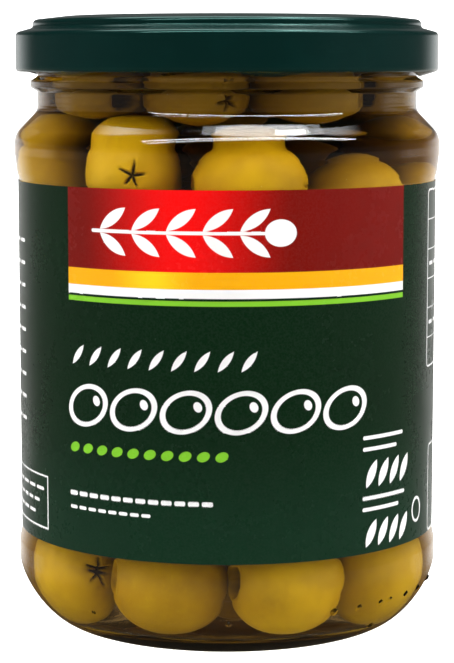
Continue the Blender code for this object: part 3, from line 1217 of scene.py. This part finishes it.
@dataclass
class GlassJar:
    """The jar: a turned shell with thread ridges, a bead, a recessed panel and raised dots."""

    mouth_radius: float = 33.5 * MM
    neck_radius: float = 36.1 * MM
    rim_height: float = 113.9 * MM
    bead_radius: float = 37.45 * MM
    bead_height: float = 102.65 * MM
    bead_half: float = 1.45 * MM
    neck_foot: float = 97.8 * MM
    foot_radius: float = 40.35 * MM
    body_corners: tuple[Corner, ...] = (
        (40.55 * MM, 93.2 * MM, 3.9 * MM),
        (40.55 * MM, 89.6 * MM, 4.0 * MM),
        (40.15 * MM, 86.2 * MM, 3.0 * MM),
        (39.8 * MM, 84.9 * MM, 0.6 * MM),
        (39.8 * MM, 17.9 * MM, 1.5 * MM),
        (40.35 * MM, 15.4 * MM, 2.0 * MM),
    )
    inner_radius: float = 37.3 * MM
    inner_shoulder: Run = (92.0 * MM, 96.9 * MM)
    inner_shoulder_rounding: float = 3.6 * MM
    floor_edge: float = 3.7 * MM
    floor_centre: float = 4.9 * MM
    floor_fillet: float = 8.8 * MM
    heel_height: float = 11.6 * MM
    heel_fullness: float = 1.46
    bearing_outer: float = 31.6 * MM
    bearing_inner: float = 29.6 * MM
    push_up_corners: tuple[Corner, ...] = (
        (28.4 * MM, 1.0 * MM, 0.8 * MM),
        (20.0 * MM, 1.9 * MM, 20.0 * MM),
        (0.0, 2.2 * MM, 0.0),
    )
    ridges: int = 6
    ridge_start: float = math.radians(-81.4)
    ridge_span: float = math.radians(72.0)
    ridge_low: float = 104.9 * MM
    ridge_slope: float = 0.113
    ridge_half: float = 0.75 * MM
    ridge_depth: float = 0.85 * MM
    ridge_end: float = 0.10
    ridge_zone: Run = (103.9 * MM, 112.9 * MM)
    ring_depth: float = 0.03 * MM
    ring_pitch: float = 2.2 * MM
    ring_zone: Run = (98.0 * MM, 101.3 * MM)
    dots: tuple[int, ...] = (0, 2, 4, 5, 7, 9, 12)
    dot_first: float = 29.5
    dot_pitch: float = 4.07
    dot_height: float = 8.1 * MM
    dot_half: float = 0.62 * MM
    dot_depth: float = 0.45 * MM
    dot_patch: float = 1.5 * MM
    nibs: tuple[tuple[float, float], ...] = ((-38.9, 6.8 * MM), (0.4, 7.0 * MM), (47.7, 2.9 * MM))
    nib_half: float = 0.45 * MM
    steps: int = 240

    def inside(self, grow: float = 0.0) -> Outline:
        """Draw the inside, from the floor's middle up to the mouth.

        Args:
            grow: How far the outline is moved into the wall.

        Returns:
            The outline so far.
        """
        outline = Outline()
        outline.to(0.0, self.floor_centre - grow)
        outline.to(self.inner_radius - self.floor_fillet - 1.5 * MM, self.floor_edge - grow, 20.0 * MM)
        outline.to(self.inner_radius + grow, self.floor_edge - grow, self.floor_fillet)
        outline.to(self.inner_radius + grow, self.inner_shoulder[0], self.inner_shoulder_rounding)
        outline.to(self.mouth_radius + grow, self.inner_shoulder[1], self.inner_shoulder_rounding)
        return outline

    def heel(self, count: int = 18) -> list[Vector]:
        """Work out the heel, a quarter of a superellipse.

        Args:
            count: The number of points.

        Returns:
            The points, from the lower ring down to the bearing ring.
        """
        found = []
        power = 2.0 / self.heel_fullness
        for step in range(1, count + 1):
            angle = math.pi / 2.0 * step / count
            radius = self.bearing_outer + (self.foot_radius - self.bearing_outer) * math.cos(angle) ** power
            found.append(Vector((radius, self.heel_height * (1.0 - math.sin(angle) ** power))))
        return found

    def build(self, material: bpy.types.Material) -> bpy.types.Object:
        """Build the jar.

        Args:
            material: The glass.

        Returns:
            The jar.
        """
        outline = self.inside()
        outline.to(self.mouth_radius, self.rim_height, 1.2 * MM)
        outline.to(self.neck_radius, self.rim_height, 1.2 * MM)
        outline.to(self.neck_radius, self.bead_height + self.bead_half, 0.5 * MM)
        outline.to(self.bead_radius, self.bead_height + self.bead_half / 2.2, 0.6 * MM)
        outline.to(self.bead_radius, self.bead_height - self.bead_half / 2.6, 0.5 * MM)
        outline.to(self.neck_radius, self.bead_height - self.bead_half, 0.5 * MM)
        outline.to(self.neck_radius, self.neck_foot, 2.6 * MM)
        for corner in self.body_corners:
            outline.to(*corner)
        outline.to(self.foot_radius, self.heel_height)
        points = outline.points(math.radians(6.0)) + self.heel()
        base = Outline().to(self.bearing_inner, 0.0)
        for corner in self.push_up_corners:
            base.to(*corner)
        points += base.points()
        points = filled_in(points, 104.0 * MM, self.ridge_zone[1], self.neck_radius - MERGE, 0.25 * MM)
        points = filled_in(points, *self.ring_zone, self.neck_radius - 0.1 * MM, 0.2 * MM)
        bm = spun(points, self.steps)
        self.raise_ridges(bm)
        self.raise_dots(bm)
        piece = make_piece("jar_glass", bm, Slot.GLASS, material)
        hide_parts("glass_jar")
        return piece

    def raise_ridges(self, bm: bmesh.types.BMesh) -> None:
        """Push the finish out into the thread's short ridges, and the neck into its faint rings.

        Args:
            bm: The jar's shape.
        """
        pitch = math.tau / self.ridges
        for vert in bm.verts:
            radius = math.hypot(vert.co.x, vert.co.y)
            height = vert.co.z
            if radius < self.neck_radius - 0.2 * MM:
                continue
            if not self.ring_zone[0] < height < self.rim_height - 1.3 * MM:
                continue
            push = 0.0
            if height > self.ridge_zone[0]:
                for turn in (0.0, pitch):
                    along = (azimuth_of(vert.co) - self.ridge_start) % pitch + turn
                    rise = self.ridge_low + along * radius * self.ridge_slope - height
                    bulge = max(0.0, 1.0 - (rise / self.ridge_half) ** 2) ** 0.5
                    start = smooth_step(0.0, self.ridge_end, along)
                    end = smooth_step(self.ridge_span, self.ridge_span - self.ridge_end, along)
                    push = max(push, self.ridge_depth * bulge * (start * end))
            elif height < self.ring_zone[1]:
                push = self.ring_depth * math.sin(height / self.ring_pitch * math.tau) ** 8
            vert.co.x *= 1.0 + push / radius
            vert.co.y *= 1.0 + push / radius

    def raise_dots(self, bm: bmesh.types.BMesh) -> None:
        """Raise the row of dots and the small nibs on the heel.

        Args:
            bm: The jar's shape.
        """
        first, pitch = self.dot_first, self.dot_pitch
        places = [(first + pitch * place, self.dot_height, self.dot_half) for place in self.dots]
        places += [(azimuth, height, self.nib_half) for azimuth, height in self.nibs]
        for azimuth, height, half in places:
            ray = outward(math.radians(azimuth))
            middle = ray * self.outer_at(height) + Vector((0.0, 0.0, height))
            near = [f for f in bm.faces if (f.calc_center_median() - middle).length < self.dot_patch]
            edges = list(dict.fromkeys(edge for face in near for edge in face.edges))
            bmesh.ops.subdivide_edges(bm, edges=edges, cuts=5, use_grid_fill=True)
            for vert in bm.verts:
                if (vert.co - middle).length > 2.0 * half:
                    continue
                away = vert.co - middle
                away -= ray * away.dot(ray)
                share = 1.0 - (away.length / half) ** 2
                if share > 0.0:
                    vert.co += ray * (self.dot_depth * share**0.5)

    def outer_at(self, height: float) -> float:
        """Give the heel's radius at a height.

        Args:
            height: The height above the base.

        Returns:
            The radius of the outside there.
        """
        gap = max(0.0, 1.0 - height / self.heel_height)
        share = max(0.0, 1.0 - gap**self.heel_fullness) ** (1.0 / self.heel_fullness)
        return self.bearing_outer + (self.foot_radius - self.bearing_outer) * share


@dataclass
class Brine:
    """The brine that fills the jar round the olives. It reaches just into the wall, so no air gap shows."""

    jar: GlassJar
    reach: float = 0.06 * MM
    level: float = 108.4 * MM
    climb: float = 0.9 * MM

    def build(self, material: bpy.types.Material) -> bpy.types.Object:
        """Build the brine.

        Args:
            material: The brine's material.

        Returns:
            The brine.
        """
        wall = self.jar.mouth_radius + self.reach
        outline = self.jar.inside(self.reach)
        outline.to(wall, self.level + self.climb)
        outline.to(wall - 0.4 * MM, self.level + self.climb * 0.4, 0.6 * MM)
        outline.to(wall - 2.2 * MM, self.level, 3.0 * MM)
        outline.to(0.0, self.level)
        bm = spun(outline.points(), self.jar.steps)
        return make_piece("brine", bm, Slot.OLIVE, material)


@dataclass
class Lid:
    """The lid: pressed tinplate with a raised panel, a straight skirt, a rolled edge and six lugs."""

    top: float = 115.4 * MM
    crown_radius: float = 30.5 * MM
    crown_fall: float = 0.75 * MM
    crown_rounding: float = 8.0 * MM
    panel_radius: float = 36.9 * MM
    ledge_height: float = 113.2 * MM
    corner_height: float = 112.3 * MM
    radius: float = 40.15 * MM
    sheet: float = 0.28 * MM
    bottom: float = 104.95 * MM
    curl: float = 1.3 * MM
    curl_inner: float = 38.45 * MM
    lugs: int = 6
    lug_first: float = math.radians(-48.0)
    lug_half: float = math.radians(13.0)
    lug_reach: float = 1.25 * MM
    lug_drop: float = 0.8 * MM
    steps: int = 240

    def build(self, lacquer: bpy.types.Material, lining: bpy.types.Material) -> bpy.types.Object:
        """Build the lid.

        Args:
            lacquer: The outside's finish.
            lining: The inside's finish.

        Returns:
            The lid.
        """
        skin = self.sheet
        outline = Outline()
        outline.to(0.0, self.top)
        outline.to(self.crown_radius, self.top, self.crown_rounding)
        outline.to(self.panel_radius, self.top - self.crown_fall, 0.9 * MM)
        outline.to(self.panel_radius, self.ledge_height, 0.6 * MM)
        outline.to(self.radius, self.corner_height, 0.9 * MM)
        outline.to(self.radius, self.bottom, 0.65 * MM)
        outline.to(self.curl_inner, self.bottom, 0.6 * MM)
        outline.to(self.curl_inner, self.bottom + self.curl, 0.5 * MM)
        outline.to(self.radius - skin, self.bottom + self.curl, 0.3 * MM)
        outline.to(self.radius - skin, self.corner_height - skin, 0.7 * MM)
        outline.to(self.panel_radius - skin, self.ledge_height - skin, 0.5 * MM)
        outline.to(self.panel_radius - skin, self.top - self.crown_fall - skin, 0.7 * MM)
        outline.to(self.crown_radius, self.top - skin, self.crown_rounding)
        outline.to(0.0, self.top - skin)
        points = filled_in(outline.points(), self.bottom, self.corner_height, self.curl_inner, 0.5 * MM)
        bm = spun(points, self.steps)
        self.press_lugs(bm)
        for face in bm.faces:
            middle = face.calc_center_median()
            away = outward(azimuth_of(middle)) + Vector((0.0, 0.0, 0.5))
            lined = face.normal.dot(away) < 0.0 and middle.z > self.bottom + self.curl
            face.material_index = int(lined)
        piece = make_piece("lid_shell", bm, Slot.LID, lacquer, lining)
        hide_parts("lid")
        return piece

    def press_lugs(self, bm: bmesh.types.BMesh) -> None:
        """Press the rolled edge in and down at each lug.

        Args:
            bm: The lid's shape.
        """
        pitch = math.tau / self.lugs
        for vert in bm.verts:
            radius = math.hypot(vert.co.x, vert.co.y)
            low = smooth_step(self.bottom + 2.0 * self.curl, self.bottom + self.curl, vert.co.z)
            share = low * smooth_step(self.radius, self.curl_inner + 0.4 * MM, radius)
            away = (azimuth_of(vert.co) - self.lug_first + pitch / 2.0) % pitch - pitch / 2.0
            if share <= 0.0 or abs(away) >= self.lug_half:
                continue
            push = math.cos(away / self.lug_half * math.pi / 2.0) ** 2 * share
            vert.co -= Vector((vert.co.x, vert.co.y, 0.0)) * (push * self.lug_reach / radius)
            vert.co.z -= push * self.lug_drop


@dataclass
class Label:
    """The label: a strip of paper wrapped once round the panel, with its ends lapped at the back."""

    inner_radius: float = 39.95 * MM
    sheet: float = 0.14 * MM
    bottom: float = 18.15 * MM
    top: float = 84.5 * MM
    lap: float = math.radians(6.0)
    across: int = 300
    up: int = 28

    def build(self, areas: tuple[Area, ...], materials: list[bpy.types.Material]) -> bpy.types.Object:
        """Build the label.

        Args:
            areas: The label's print areas.
            materials: The printed paper of each area.

        Returns:
            The label.
        """
        bm = bmesh.new()
        bmesh.ops.create_grid(bm, x_segments=self.across, y_segments=self.up, size=0.5)
        plan = {vert: (vert.co.x + 0.5, vert.co.y + 0.5) for vert in bm.verts}
        layer = bm.loops.layers.uv.new("wrap")
        span = math.tau + self.lap
        for face in bm.faces:
            for loop in face.loops:
                along, rise = plan[loop.vert]
                loop[layer].uv = ((along * span - self.lap / 2.0) / math.tau, rise)
        for vert, (along, rise) in plan.items():
            turned = along * span - self.lap / 2.0 - math.pi
            lift = self.sheet * 1.4 * smooth_step(0.97, 0.985, along)
            place = outward(turned) * (self.inner_radius + lift)
            vert.co = (place.x, place.y, self.bottom + (self.top - self.bottom) * rise)
        for face in bm.faces:
            middle = sum((loop[layer].uv for loop in face.loops), Vector((0.0, 0.0))) / len(face.loops)
            along = (middle.x - 0.5) * math.tau * self.inner_radius / MM
            height = (self.bottom + (self.top - self.bottom) * middle.y) / MM
            for index, area in enumerate(areas):
                if area.left <= along <= area.right and area.low <= height <= area.high:
                    face.material_index = index
        bmesh.ops.solidify(bm, geom=bm.faces, thickness=-self.sheet)
        bmesh.ops.recalc_face_normals(bm, faces=bm.faces)
        piece = make_piece("label_wrap", bm, Slot.LABEL, *materials)
        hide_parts("label")
        return piece


@dataclass(frozen=True)
class Spot:
    """Where one olive lies and how it is turned.

    turn is 0 where its cut end points along the wall towards a larger azimuth, and a right angle where that
    end points at the wall. nose is how far that end is raised.
    """

    azimuth: float
    height: float
    wall: float
    turn: float = 0.0
    nose: float = 0.0
    size: float = 1.0
    fine: bool = True
    # Painted shade: how far the olive's colour is lowered, for the lid's shade over the neck row.
    shade: float = 0.0


@dataclass
class Olives:
    """Pitted olives: those at the wall where the jar is clear, and the rest behind the label and inside."""

    half_length: float = 10.0 * MM
    half_width: float = 8.3 * MM
    wall: float = 36.8 * MM
    neck_wall: float = 32.9 * MM
    bottom_row: float = 12.6 * MM
    top_row: float = 87.0 * MM
    neck_row: float = 100.6 * MM
    hidden_rows: int = 4
    row_count: int = 9
    hidden_size: float = 0.97
    core_levels: int = 5
    core_count: int = 3
    core_foot: float = 15.4 * MM
    core_pitch: float = 20.2 * MM
    core_reach: float = 18.2 * MM
    arm_count: int = 5
    seed: int = 11
    chance: random.Random = field(init=False)

    def __post_init__(self) -> None:
        """Start the seeded draws."""
        self.chance = random.Random(self.seed)

    def spot(
        self,
        azimuth: float,
        height: float,
        wall: float,
        turn: float,
        nose: float = 0.0,
        size: float = 1.0,
        shade: float = 0.0,
    ) -> Spot:
        """Give a place in the rows that show, with a little of its own size and turn.

        Args:
            azimuth: Its azimuth, in degrees.
            height: Its height.
            wall: The radius of the wall that it touches.
            turn: Its turn, in degrees.
            nose: How far its cut end is raised, in degrees.
            size: Its size, as a share of the usual one.
            shade: How far its skin is darkened, as painted shade.

        Returns:
            The place.
        """
        return Spot(
            math.radians(azimuth),
            height + self.chance.uniform(-0.2, 0.2) * MM,
            wall,
            math.radians(turn + self.chance.uniform(-5.0, 5.0)),
            math.radians(nose + self.chance.uniform(-4.0, 4.0)),
            size * (1.0 - self.chance.uniform(0.0, 0.02)),
            shade=shade,
        )

    def shown(self) -> list[Spot]:
        """List the olives that show above and below the label.

        Returns:
            Their places.
        """
        bottom = ((-61.5, 9.0), (-20.5, -25.0), (20.5, -5.0), (61.5, 194.0), (102.5, 12.0))
        bottom += ((143.5, 180.0), (184.5, 8.0), (225.5, -6.0), (262.0, 90.0))
        top = ((-81.0, 95.0, 0.0, -2.5), (-34.5, 62.0, 3.0, 0.0), (7.3, 3.0, 0.0, -2.0))
        top += ((48.8, 49.0, 0.0, -5.0), (91.0, 90.0, 0.0, -6.0), (129.0, 90.0, -15.0, -1.0))
        top += ((166.5, 180.0, 5.0, -3.5), (204.0, 90.0, -10.0, 0.0), (240.0, 0.0, 5.0, -4.0))
        neck = ((-12.0, 43.0), (33.0, 213.0), (78.0, 0.0), (123.0, 180.0), (168.0, 20.0))
        neck += ((213.0, 170.0), (258.0, 0.0), (303.0, 190.0))
        found = []
        for azimuth, turn in bottom:
            found.append(self.spot(azimuth, self.bottom_row, self.wall, turn, size=1.025))
        for azimuth, turn, nose, rise in top:
            found.append(self.spot(azimuth, self.top_row + rise * MM, self.wall, turn, nose))
        # The neck row gets painted shade for the lid's shade over it.
        for azimuth, turn in neck:
            found.append(self.spot(azimuth, self.neck_row, self.neck_wall, turn, shade=0.5))
        return found

    def hidden(self) -> list[Spot]:
        """List the olives behind the label and in the middle of the jar.

        Returns:
            Their places.
        """
        found = []
        pitch = (self.top_row - self.bottom_row) / (self.hidden_rows + 1)
        for row in range(1, self.hidden_rows + 1):
            for index in range(self.row_count):
                azimuth = math.tau * (index + 0.5 * (row % 2)) / self.row_count
                turn = math.radians(self.chance.uniform(-12.0, 12.0))
                height = self.bottom_row + pitch * row
                found.append(Spot(azimuth, height, self.wall, turn, 0.0, self.hidden_size, False))
        upright = math.pi / 2.0
        for level in range(self.core_levels):
            fine = level in (0, self.core_levels - 1)
            height = self.core_foot + self.core_pitch * level
            for index in range(self.core_count):
                azimuth = math.tau * (index + 0.5 * level) / self.core_count
                found.append(Spot(azimuth, height, self.core_reach, 0.0, upright, self.hidden_size, fine))
        return found

    def build(self, material: bpy.types.Material) -> list[bpy.types.Object]:
        """Build all the olives as two pieces.

        Args:
            material: The olive skin.

        Returns:
            The pieces.
        """
        shown = self.joined("olives_in_view", self.shown(), material)
        hidden = self.joined("olives_inside", self.hidden(), material)
        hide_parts("olives")
        return [shown, hidden]

    def joined(self, name: str, spots: list[Spot], material: bpy.types.Material) -> bpy.types.Object:
        """Make one mesh of many olives.

        Args:
            name: The piece's name.
            spots: Where the olives lie.
            material: The olive skin.

        Returns:
            The piece.
        """
        bm = bmesh.new()
        tone_and_shade = bm.verts.layers.float.new("tone_and_shade")
        cut = bm.verts.layers.float.new("cut")
        balls = {fine: self.ball(fine) for fine in (True, False)}
        for spot in spots:
            before = len(bm.verts)
            bm.from_mesh(balls[spot.fine])
            bm.verts.ensure_lookup_table()
            self.shape(bm.verts[before:], spot, tone_and_shade, cut)
        return make_piece(name, bm, Slot.OLIVE, material)

    @staticmethod
    def ball(fine: bool) -> bpy.types.Mesh:
        """Make the ball that olives are shaped from.

        Args:
            fine: Whether it is for olives that show.

        Returns:
            The ball, one long from its middle.
        """
        segments, rings = (48, 40) if fine else (20, 14)
        bm = bmesh.new()
        bmesh.ops.create_uvsphere(bm, u_segments=segments, v_segments=rings, radius=1.0)
        mesh = bpy.data.meshes.new("ball")
        bm.to_mesh(mesh)
        bm.free()
        return mesh

    def shape(self, verts: list, spot: Spot, tone_and_shade: object, cut: object) -> None:
        """Shape a ball into a pitted olive and put it in its place.

        Args:
            verts: The ball's vertices, one long from its middle, with its poles on Z.
            spot: Where it lies.
            tone_and_shade: The layer that holds the olive's tone.
            cut: The layer that holds how deep in a cut a vertex is, which sets its painted shade.
        """
        # Painted shade: the spot's shade lowers the olive's random colour.
        own_tone_and_shade = self.chance.random() - 2.0 * spot.shade
        offset = Vector([self.chance.uniform(-50.0, 50.0) for _ in range(3)])
        arms = []
        for arm in range(self.arm_count):
            angle = math.tau * (arm + self.chance.uniform(-0.15, 0.15)) / self.arm_count
            arms.append((angle, self.chance.uniform(2.3, 3.3)))
        width = self.half_width * spot.size
        length = self.half_length * spot.size
        matrix = self.placing(spot, length, width)
        for vert in verts:
            polar = math.acos(max(-1.0, min(1.0, vert.co.z)))
            around = math.atan2(vert.co.y, vert.co.x)
            polar -= 0.3 * math.sin(2.0 * polar)
            lump = 1.0 + 0.035 * (noise.noise(vert.co * 1.3 + offset) - 0.15)
            radius = width * math.sin(polar) * lump
            rise = length * math.cos(polar) * lump
            # dark is how far the skin is darkened there as painted shade.
            depth, dark = self.cut_depth(radius / MM, around, arms, rise > 0.0)
            rise -= math.copysign(depth * MM, rise)
            vert[tone_and_shade] = own_tone_and_shade
            vert[cut] = dark
            vert.co = matrix @ Vector((radius * math.cos(around), radius * math.sin(around), rise))

    @staticmethod
    def cut_depth(reach: float, around: float, arms: list[Run], starred: bool) -> Run:
        """Say how far the skin is pushed in near an olive's end.

        Args:
            reach: The distance from the olive's long axis, in millimetres.
            around: The angle about that axis.
            arms: The angle and length of each arm of the star cut.
            starred: Whether this is the end with the star cut, and not the one with the round hole.

        Returns:
            The depth in millimetres, and how far it is darkened there as painted shade, from 0 to 1.
        """
        end_reach, hole_radius, hole_depth = 4.0, 2.3, 4.5
        arm_depth, lip_height = 1.5, 0.18
        if reach > end_reach:
            return 0.0, 0.0
        if not starred:
            edge = hole_radius + 0.15 * math.sin(3.0 * around)
            inside = 1.0 - smooth_step(edge - 0.5, edge + 0.35, reach)
            return hole_depth * inside, smooth_step(0.25, 0.8, inside)
        depth = 0.0
        lip = 0.0
        for angle, length in arms:
            away = around - angle
            forward = reach * math.cos(away)
            side = abs(reach * math.sin(away))
            if forward < 0.0 and reach > 0.4:
                continue
            fade = 1.0 - smooth_step(length * 0.55, length, forward)
            half = 0.13 + 0.25 * (1.0 - min(max(forward, 0.0) / length, 1.0))
            groove = math.exp(-((side / half) ** 2)) * fade
            depth = max(depth, groove)
            lip = max(lip, math.exp(-(((side - 2.6 * half) / 0.5) ** 2)) * fade)
        return arm_depth * depth - lip_height * lip * (1.0 - depth), smooth_step(0.3, 0.8, depth)

    def placing(self, spot: Spot, length: float, width: float) -> Matrix:
        """Work out the matrix that puts an olive in its place.

        Args:
            spot: Where it lies.
            length: Half its length.
            width: Half its width.

        Returns:
            The matrix.
        """
        away = outward(spot.azimuth)
        along = Vector((-away.y, away.x, 0.0))
        level = along * math.cos(spot.turn) + away * math.sin(spot.turn)
        axis = level * math.cos(spot.nose) + Vector((0.0, 0.0, math.sin(spot.nose)))
        share = axis.dot(away)
        extent = math.sqrt((length * share) ** 2 + width**2 * (1.0 - share**2))
        middle = away * (spot.wall - extent) + Vector((0.0, 0.0, spot.height))
        facing = axis.to_track_quat("Z", "Y").to_matrix().to_4x4()
        roll = Matrix.Rotation(self.chance.uniform(0.0, math.tau), 4, "Z")
        return Matrix.Translation(middle) @ facing @ roll


@dataclass
class Studio:
    """The pale floor, the soft light and the camera."""

    camera_distance: float = 415.0 * MM
    camera_height: float = 107.0 * MM
    camera_pitch: float = 0.1248
    focal_pixels: float = 2157.65
    image_height: float = 663.0
    sensor: float = 36.0
    floor_size: float = 6.0
    mirror_share: float = 0.12
    mirror_edge: Run = (0.03, 0.12)
    raised_edge: Run = (0.10, 0.36)
    beside_edge: Run = (0.45, 0.95)
    overhead_edge: Run = (0.74, 0.86)
    overhead_front: Run = (-0.05, 0.15)
    high_light: float = 1.0
    low_light: float = 1.15
    beside_light: float = 4.5
    overhead_light: float = 4.5

    def build(self) -> None:
        """Build the camera, the floor, the world and the lamps."""
        self.make_camera()
        self.make_floor()
        self.make_world()
        self.add_softbox("softbox_front", Vector((0.10, -0.36, 0.75)), (1.70, 0.08), 9.4)
        self.add_softbox("softbox_top", Vector((0.24, -0.03, 0.75)), (0.18, 0.10), 1.1)
        bpy.context.scene.view_settings.view_transform = "Standard"

    def make_camera(self) -> None:
        """Put the camera where the photograph was taken from."""
        data = bpy.data.cameras.new("camera")
        data.sensor_width = self.sensor
        data.lens = self.focal_pixels / self.image_height * self.sensor
        data.clip_start = 0.01
        data.clip_end = 20.0
        camera = bpy.data.objects.new("camera", data)
        camera.location = (0.0, -self.camera_distance, self.camera_height)
        camera.rotation_euler = (math.pi / 2.0 - self.camera_pitch, 0.0, 0.0)
        bpy.context.scene.collection.objects.link(camera)
        bpy.context.scene.camera = camera

    def make_floor(self) -> None:
        """Lay the pale floor just under the jar."""
        bm = bmesh.new()
        bmesh.ops.create_grid(bm, x_segments=2, y_segments=2, size=self.floor_size / 2.0)
        bmesh.ops.translate(bm, vec=(0.0, 0.0, -0.1 * MM), verts=bm.verts)
        mesh = bpy.data.meshes.new("floor")
        bm.to_mesh(mesh)
        bm.free()
        mesh.materials.append(FloorFinish().build())
        floor = bpy.data.objects.new("floor", mesh)
        bpy.context.scene.collection.objects.link(floor)

    def make_world(self) -> None:
        """Make a white surround that is dim on the camera's side and plain white behind the jar."""
        world = bpy.data.worlds.new("surround")
        world.use_nodes = True
        bpy.context.scene.world = world
        tree = Tree(world.node_tree)
        across, back, up = tree.parts(tree.add("TexCoord").outputs["Generated"])
        backdrop = Backdrop()
        level = backdrop.level(tree, across, back)
        glossy = tree.add("LightPath").outputs["Is Glossy Ray"]
        lower = tree.ease(up, *self.mirror_edge, 0.0, self.mirror_share - 1.0)
        level = tree.math("MULTIPLY", level, tree.math("MULTIPLY_ADD", glossy, lower, 1.0))
        raised = tree.ease(up, *self.raised_edge, self.low_light, self.high_light)
        beside = tree.ease(tree.math("ABSOLUTE", across), *self.beside_edge, 1.0, self.beside_light)
        raised = tree.math("MULTIPLY", raised, beside)
        level = tree.math("MULTIPLY_ADD", raised, backdrop.unseen(tree), level)
        above = tree.ease(up, *self.overhead_edge)
        overhead = tree.math("MULTIPLY", above, tree.ease(back, *self.overhead_front))
        overhead = tree.math("MULTIPLY", overhead, tree.math("MULTIPLY_ADD", glossy, 0.8, 0.2))
        level = tree.math("MULTIPLY_ADD", overhead, self.overhead_light, level)
        level = tree.math("MAXIMUM", level, tree.add("LightPath").outputs["Is Camera Ray"])
        sky = tree.shader("Background", Color=opaque(WHITE))
        tree.feed(sky.inputs["Strength"], level)
        tree.end(sky, "OutputWorld")

    @staticmethod
    def add_softbox(name: str, place: Vector, size: tuple[float, float], power: float) -> None:
        """Hang a softbox that faces the jar.

        Args:
            name: The lamp's name.
            place: Where it hangs.
            size: Its width and height.
            power: Its power, in watts.
        """
        data = bpy.data.lights.new(name, "AREA")
        data.shape = "RECTANGLE"
        data.size, data.size_y = size
        data.energy = power
        lamp = bpy.data.objects.new(name, data)
        lamp.location = place
        aim = Vector((0.0, 0.0, 55.0 * MM)) - place
        lamp.rotation_euler = aim.to_track_quat("-Z", "Y").to_euler()
        bpy.context.scene.collection.objects.link(lamp)


def main() -> None:
    """Build the jar of olives and its studio."""
    logging.basicConfig(level=logging.INFO, format="%(name)s %(message)s")
    Studio().build()
    jar = GlassJar()
    jar.build(GlassFinish().build())
    Brine(jar).build(BrineFinish().build())
    Olives().build(OliveFinish().build())
    lacquer = LacquerFinish("green lacquer", (0.003, 0.033, 0.028))
    lining = LacquerFinish("pale lining", (0.62, 0.52, 0.32), metallic=0.4, coat=0.2)
    Lid().build(lacquer.build(), lining.build())
    Label().build(AREAS, [PaperFinish(area).build() for area in AREAS])


if __name__ == "__main__":
    main()
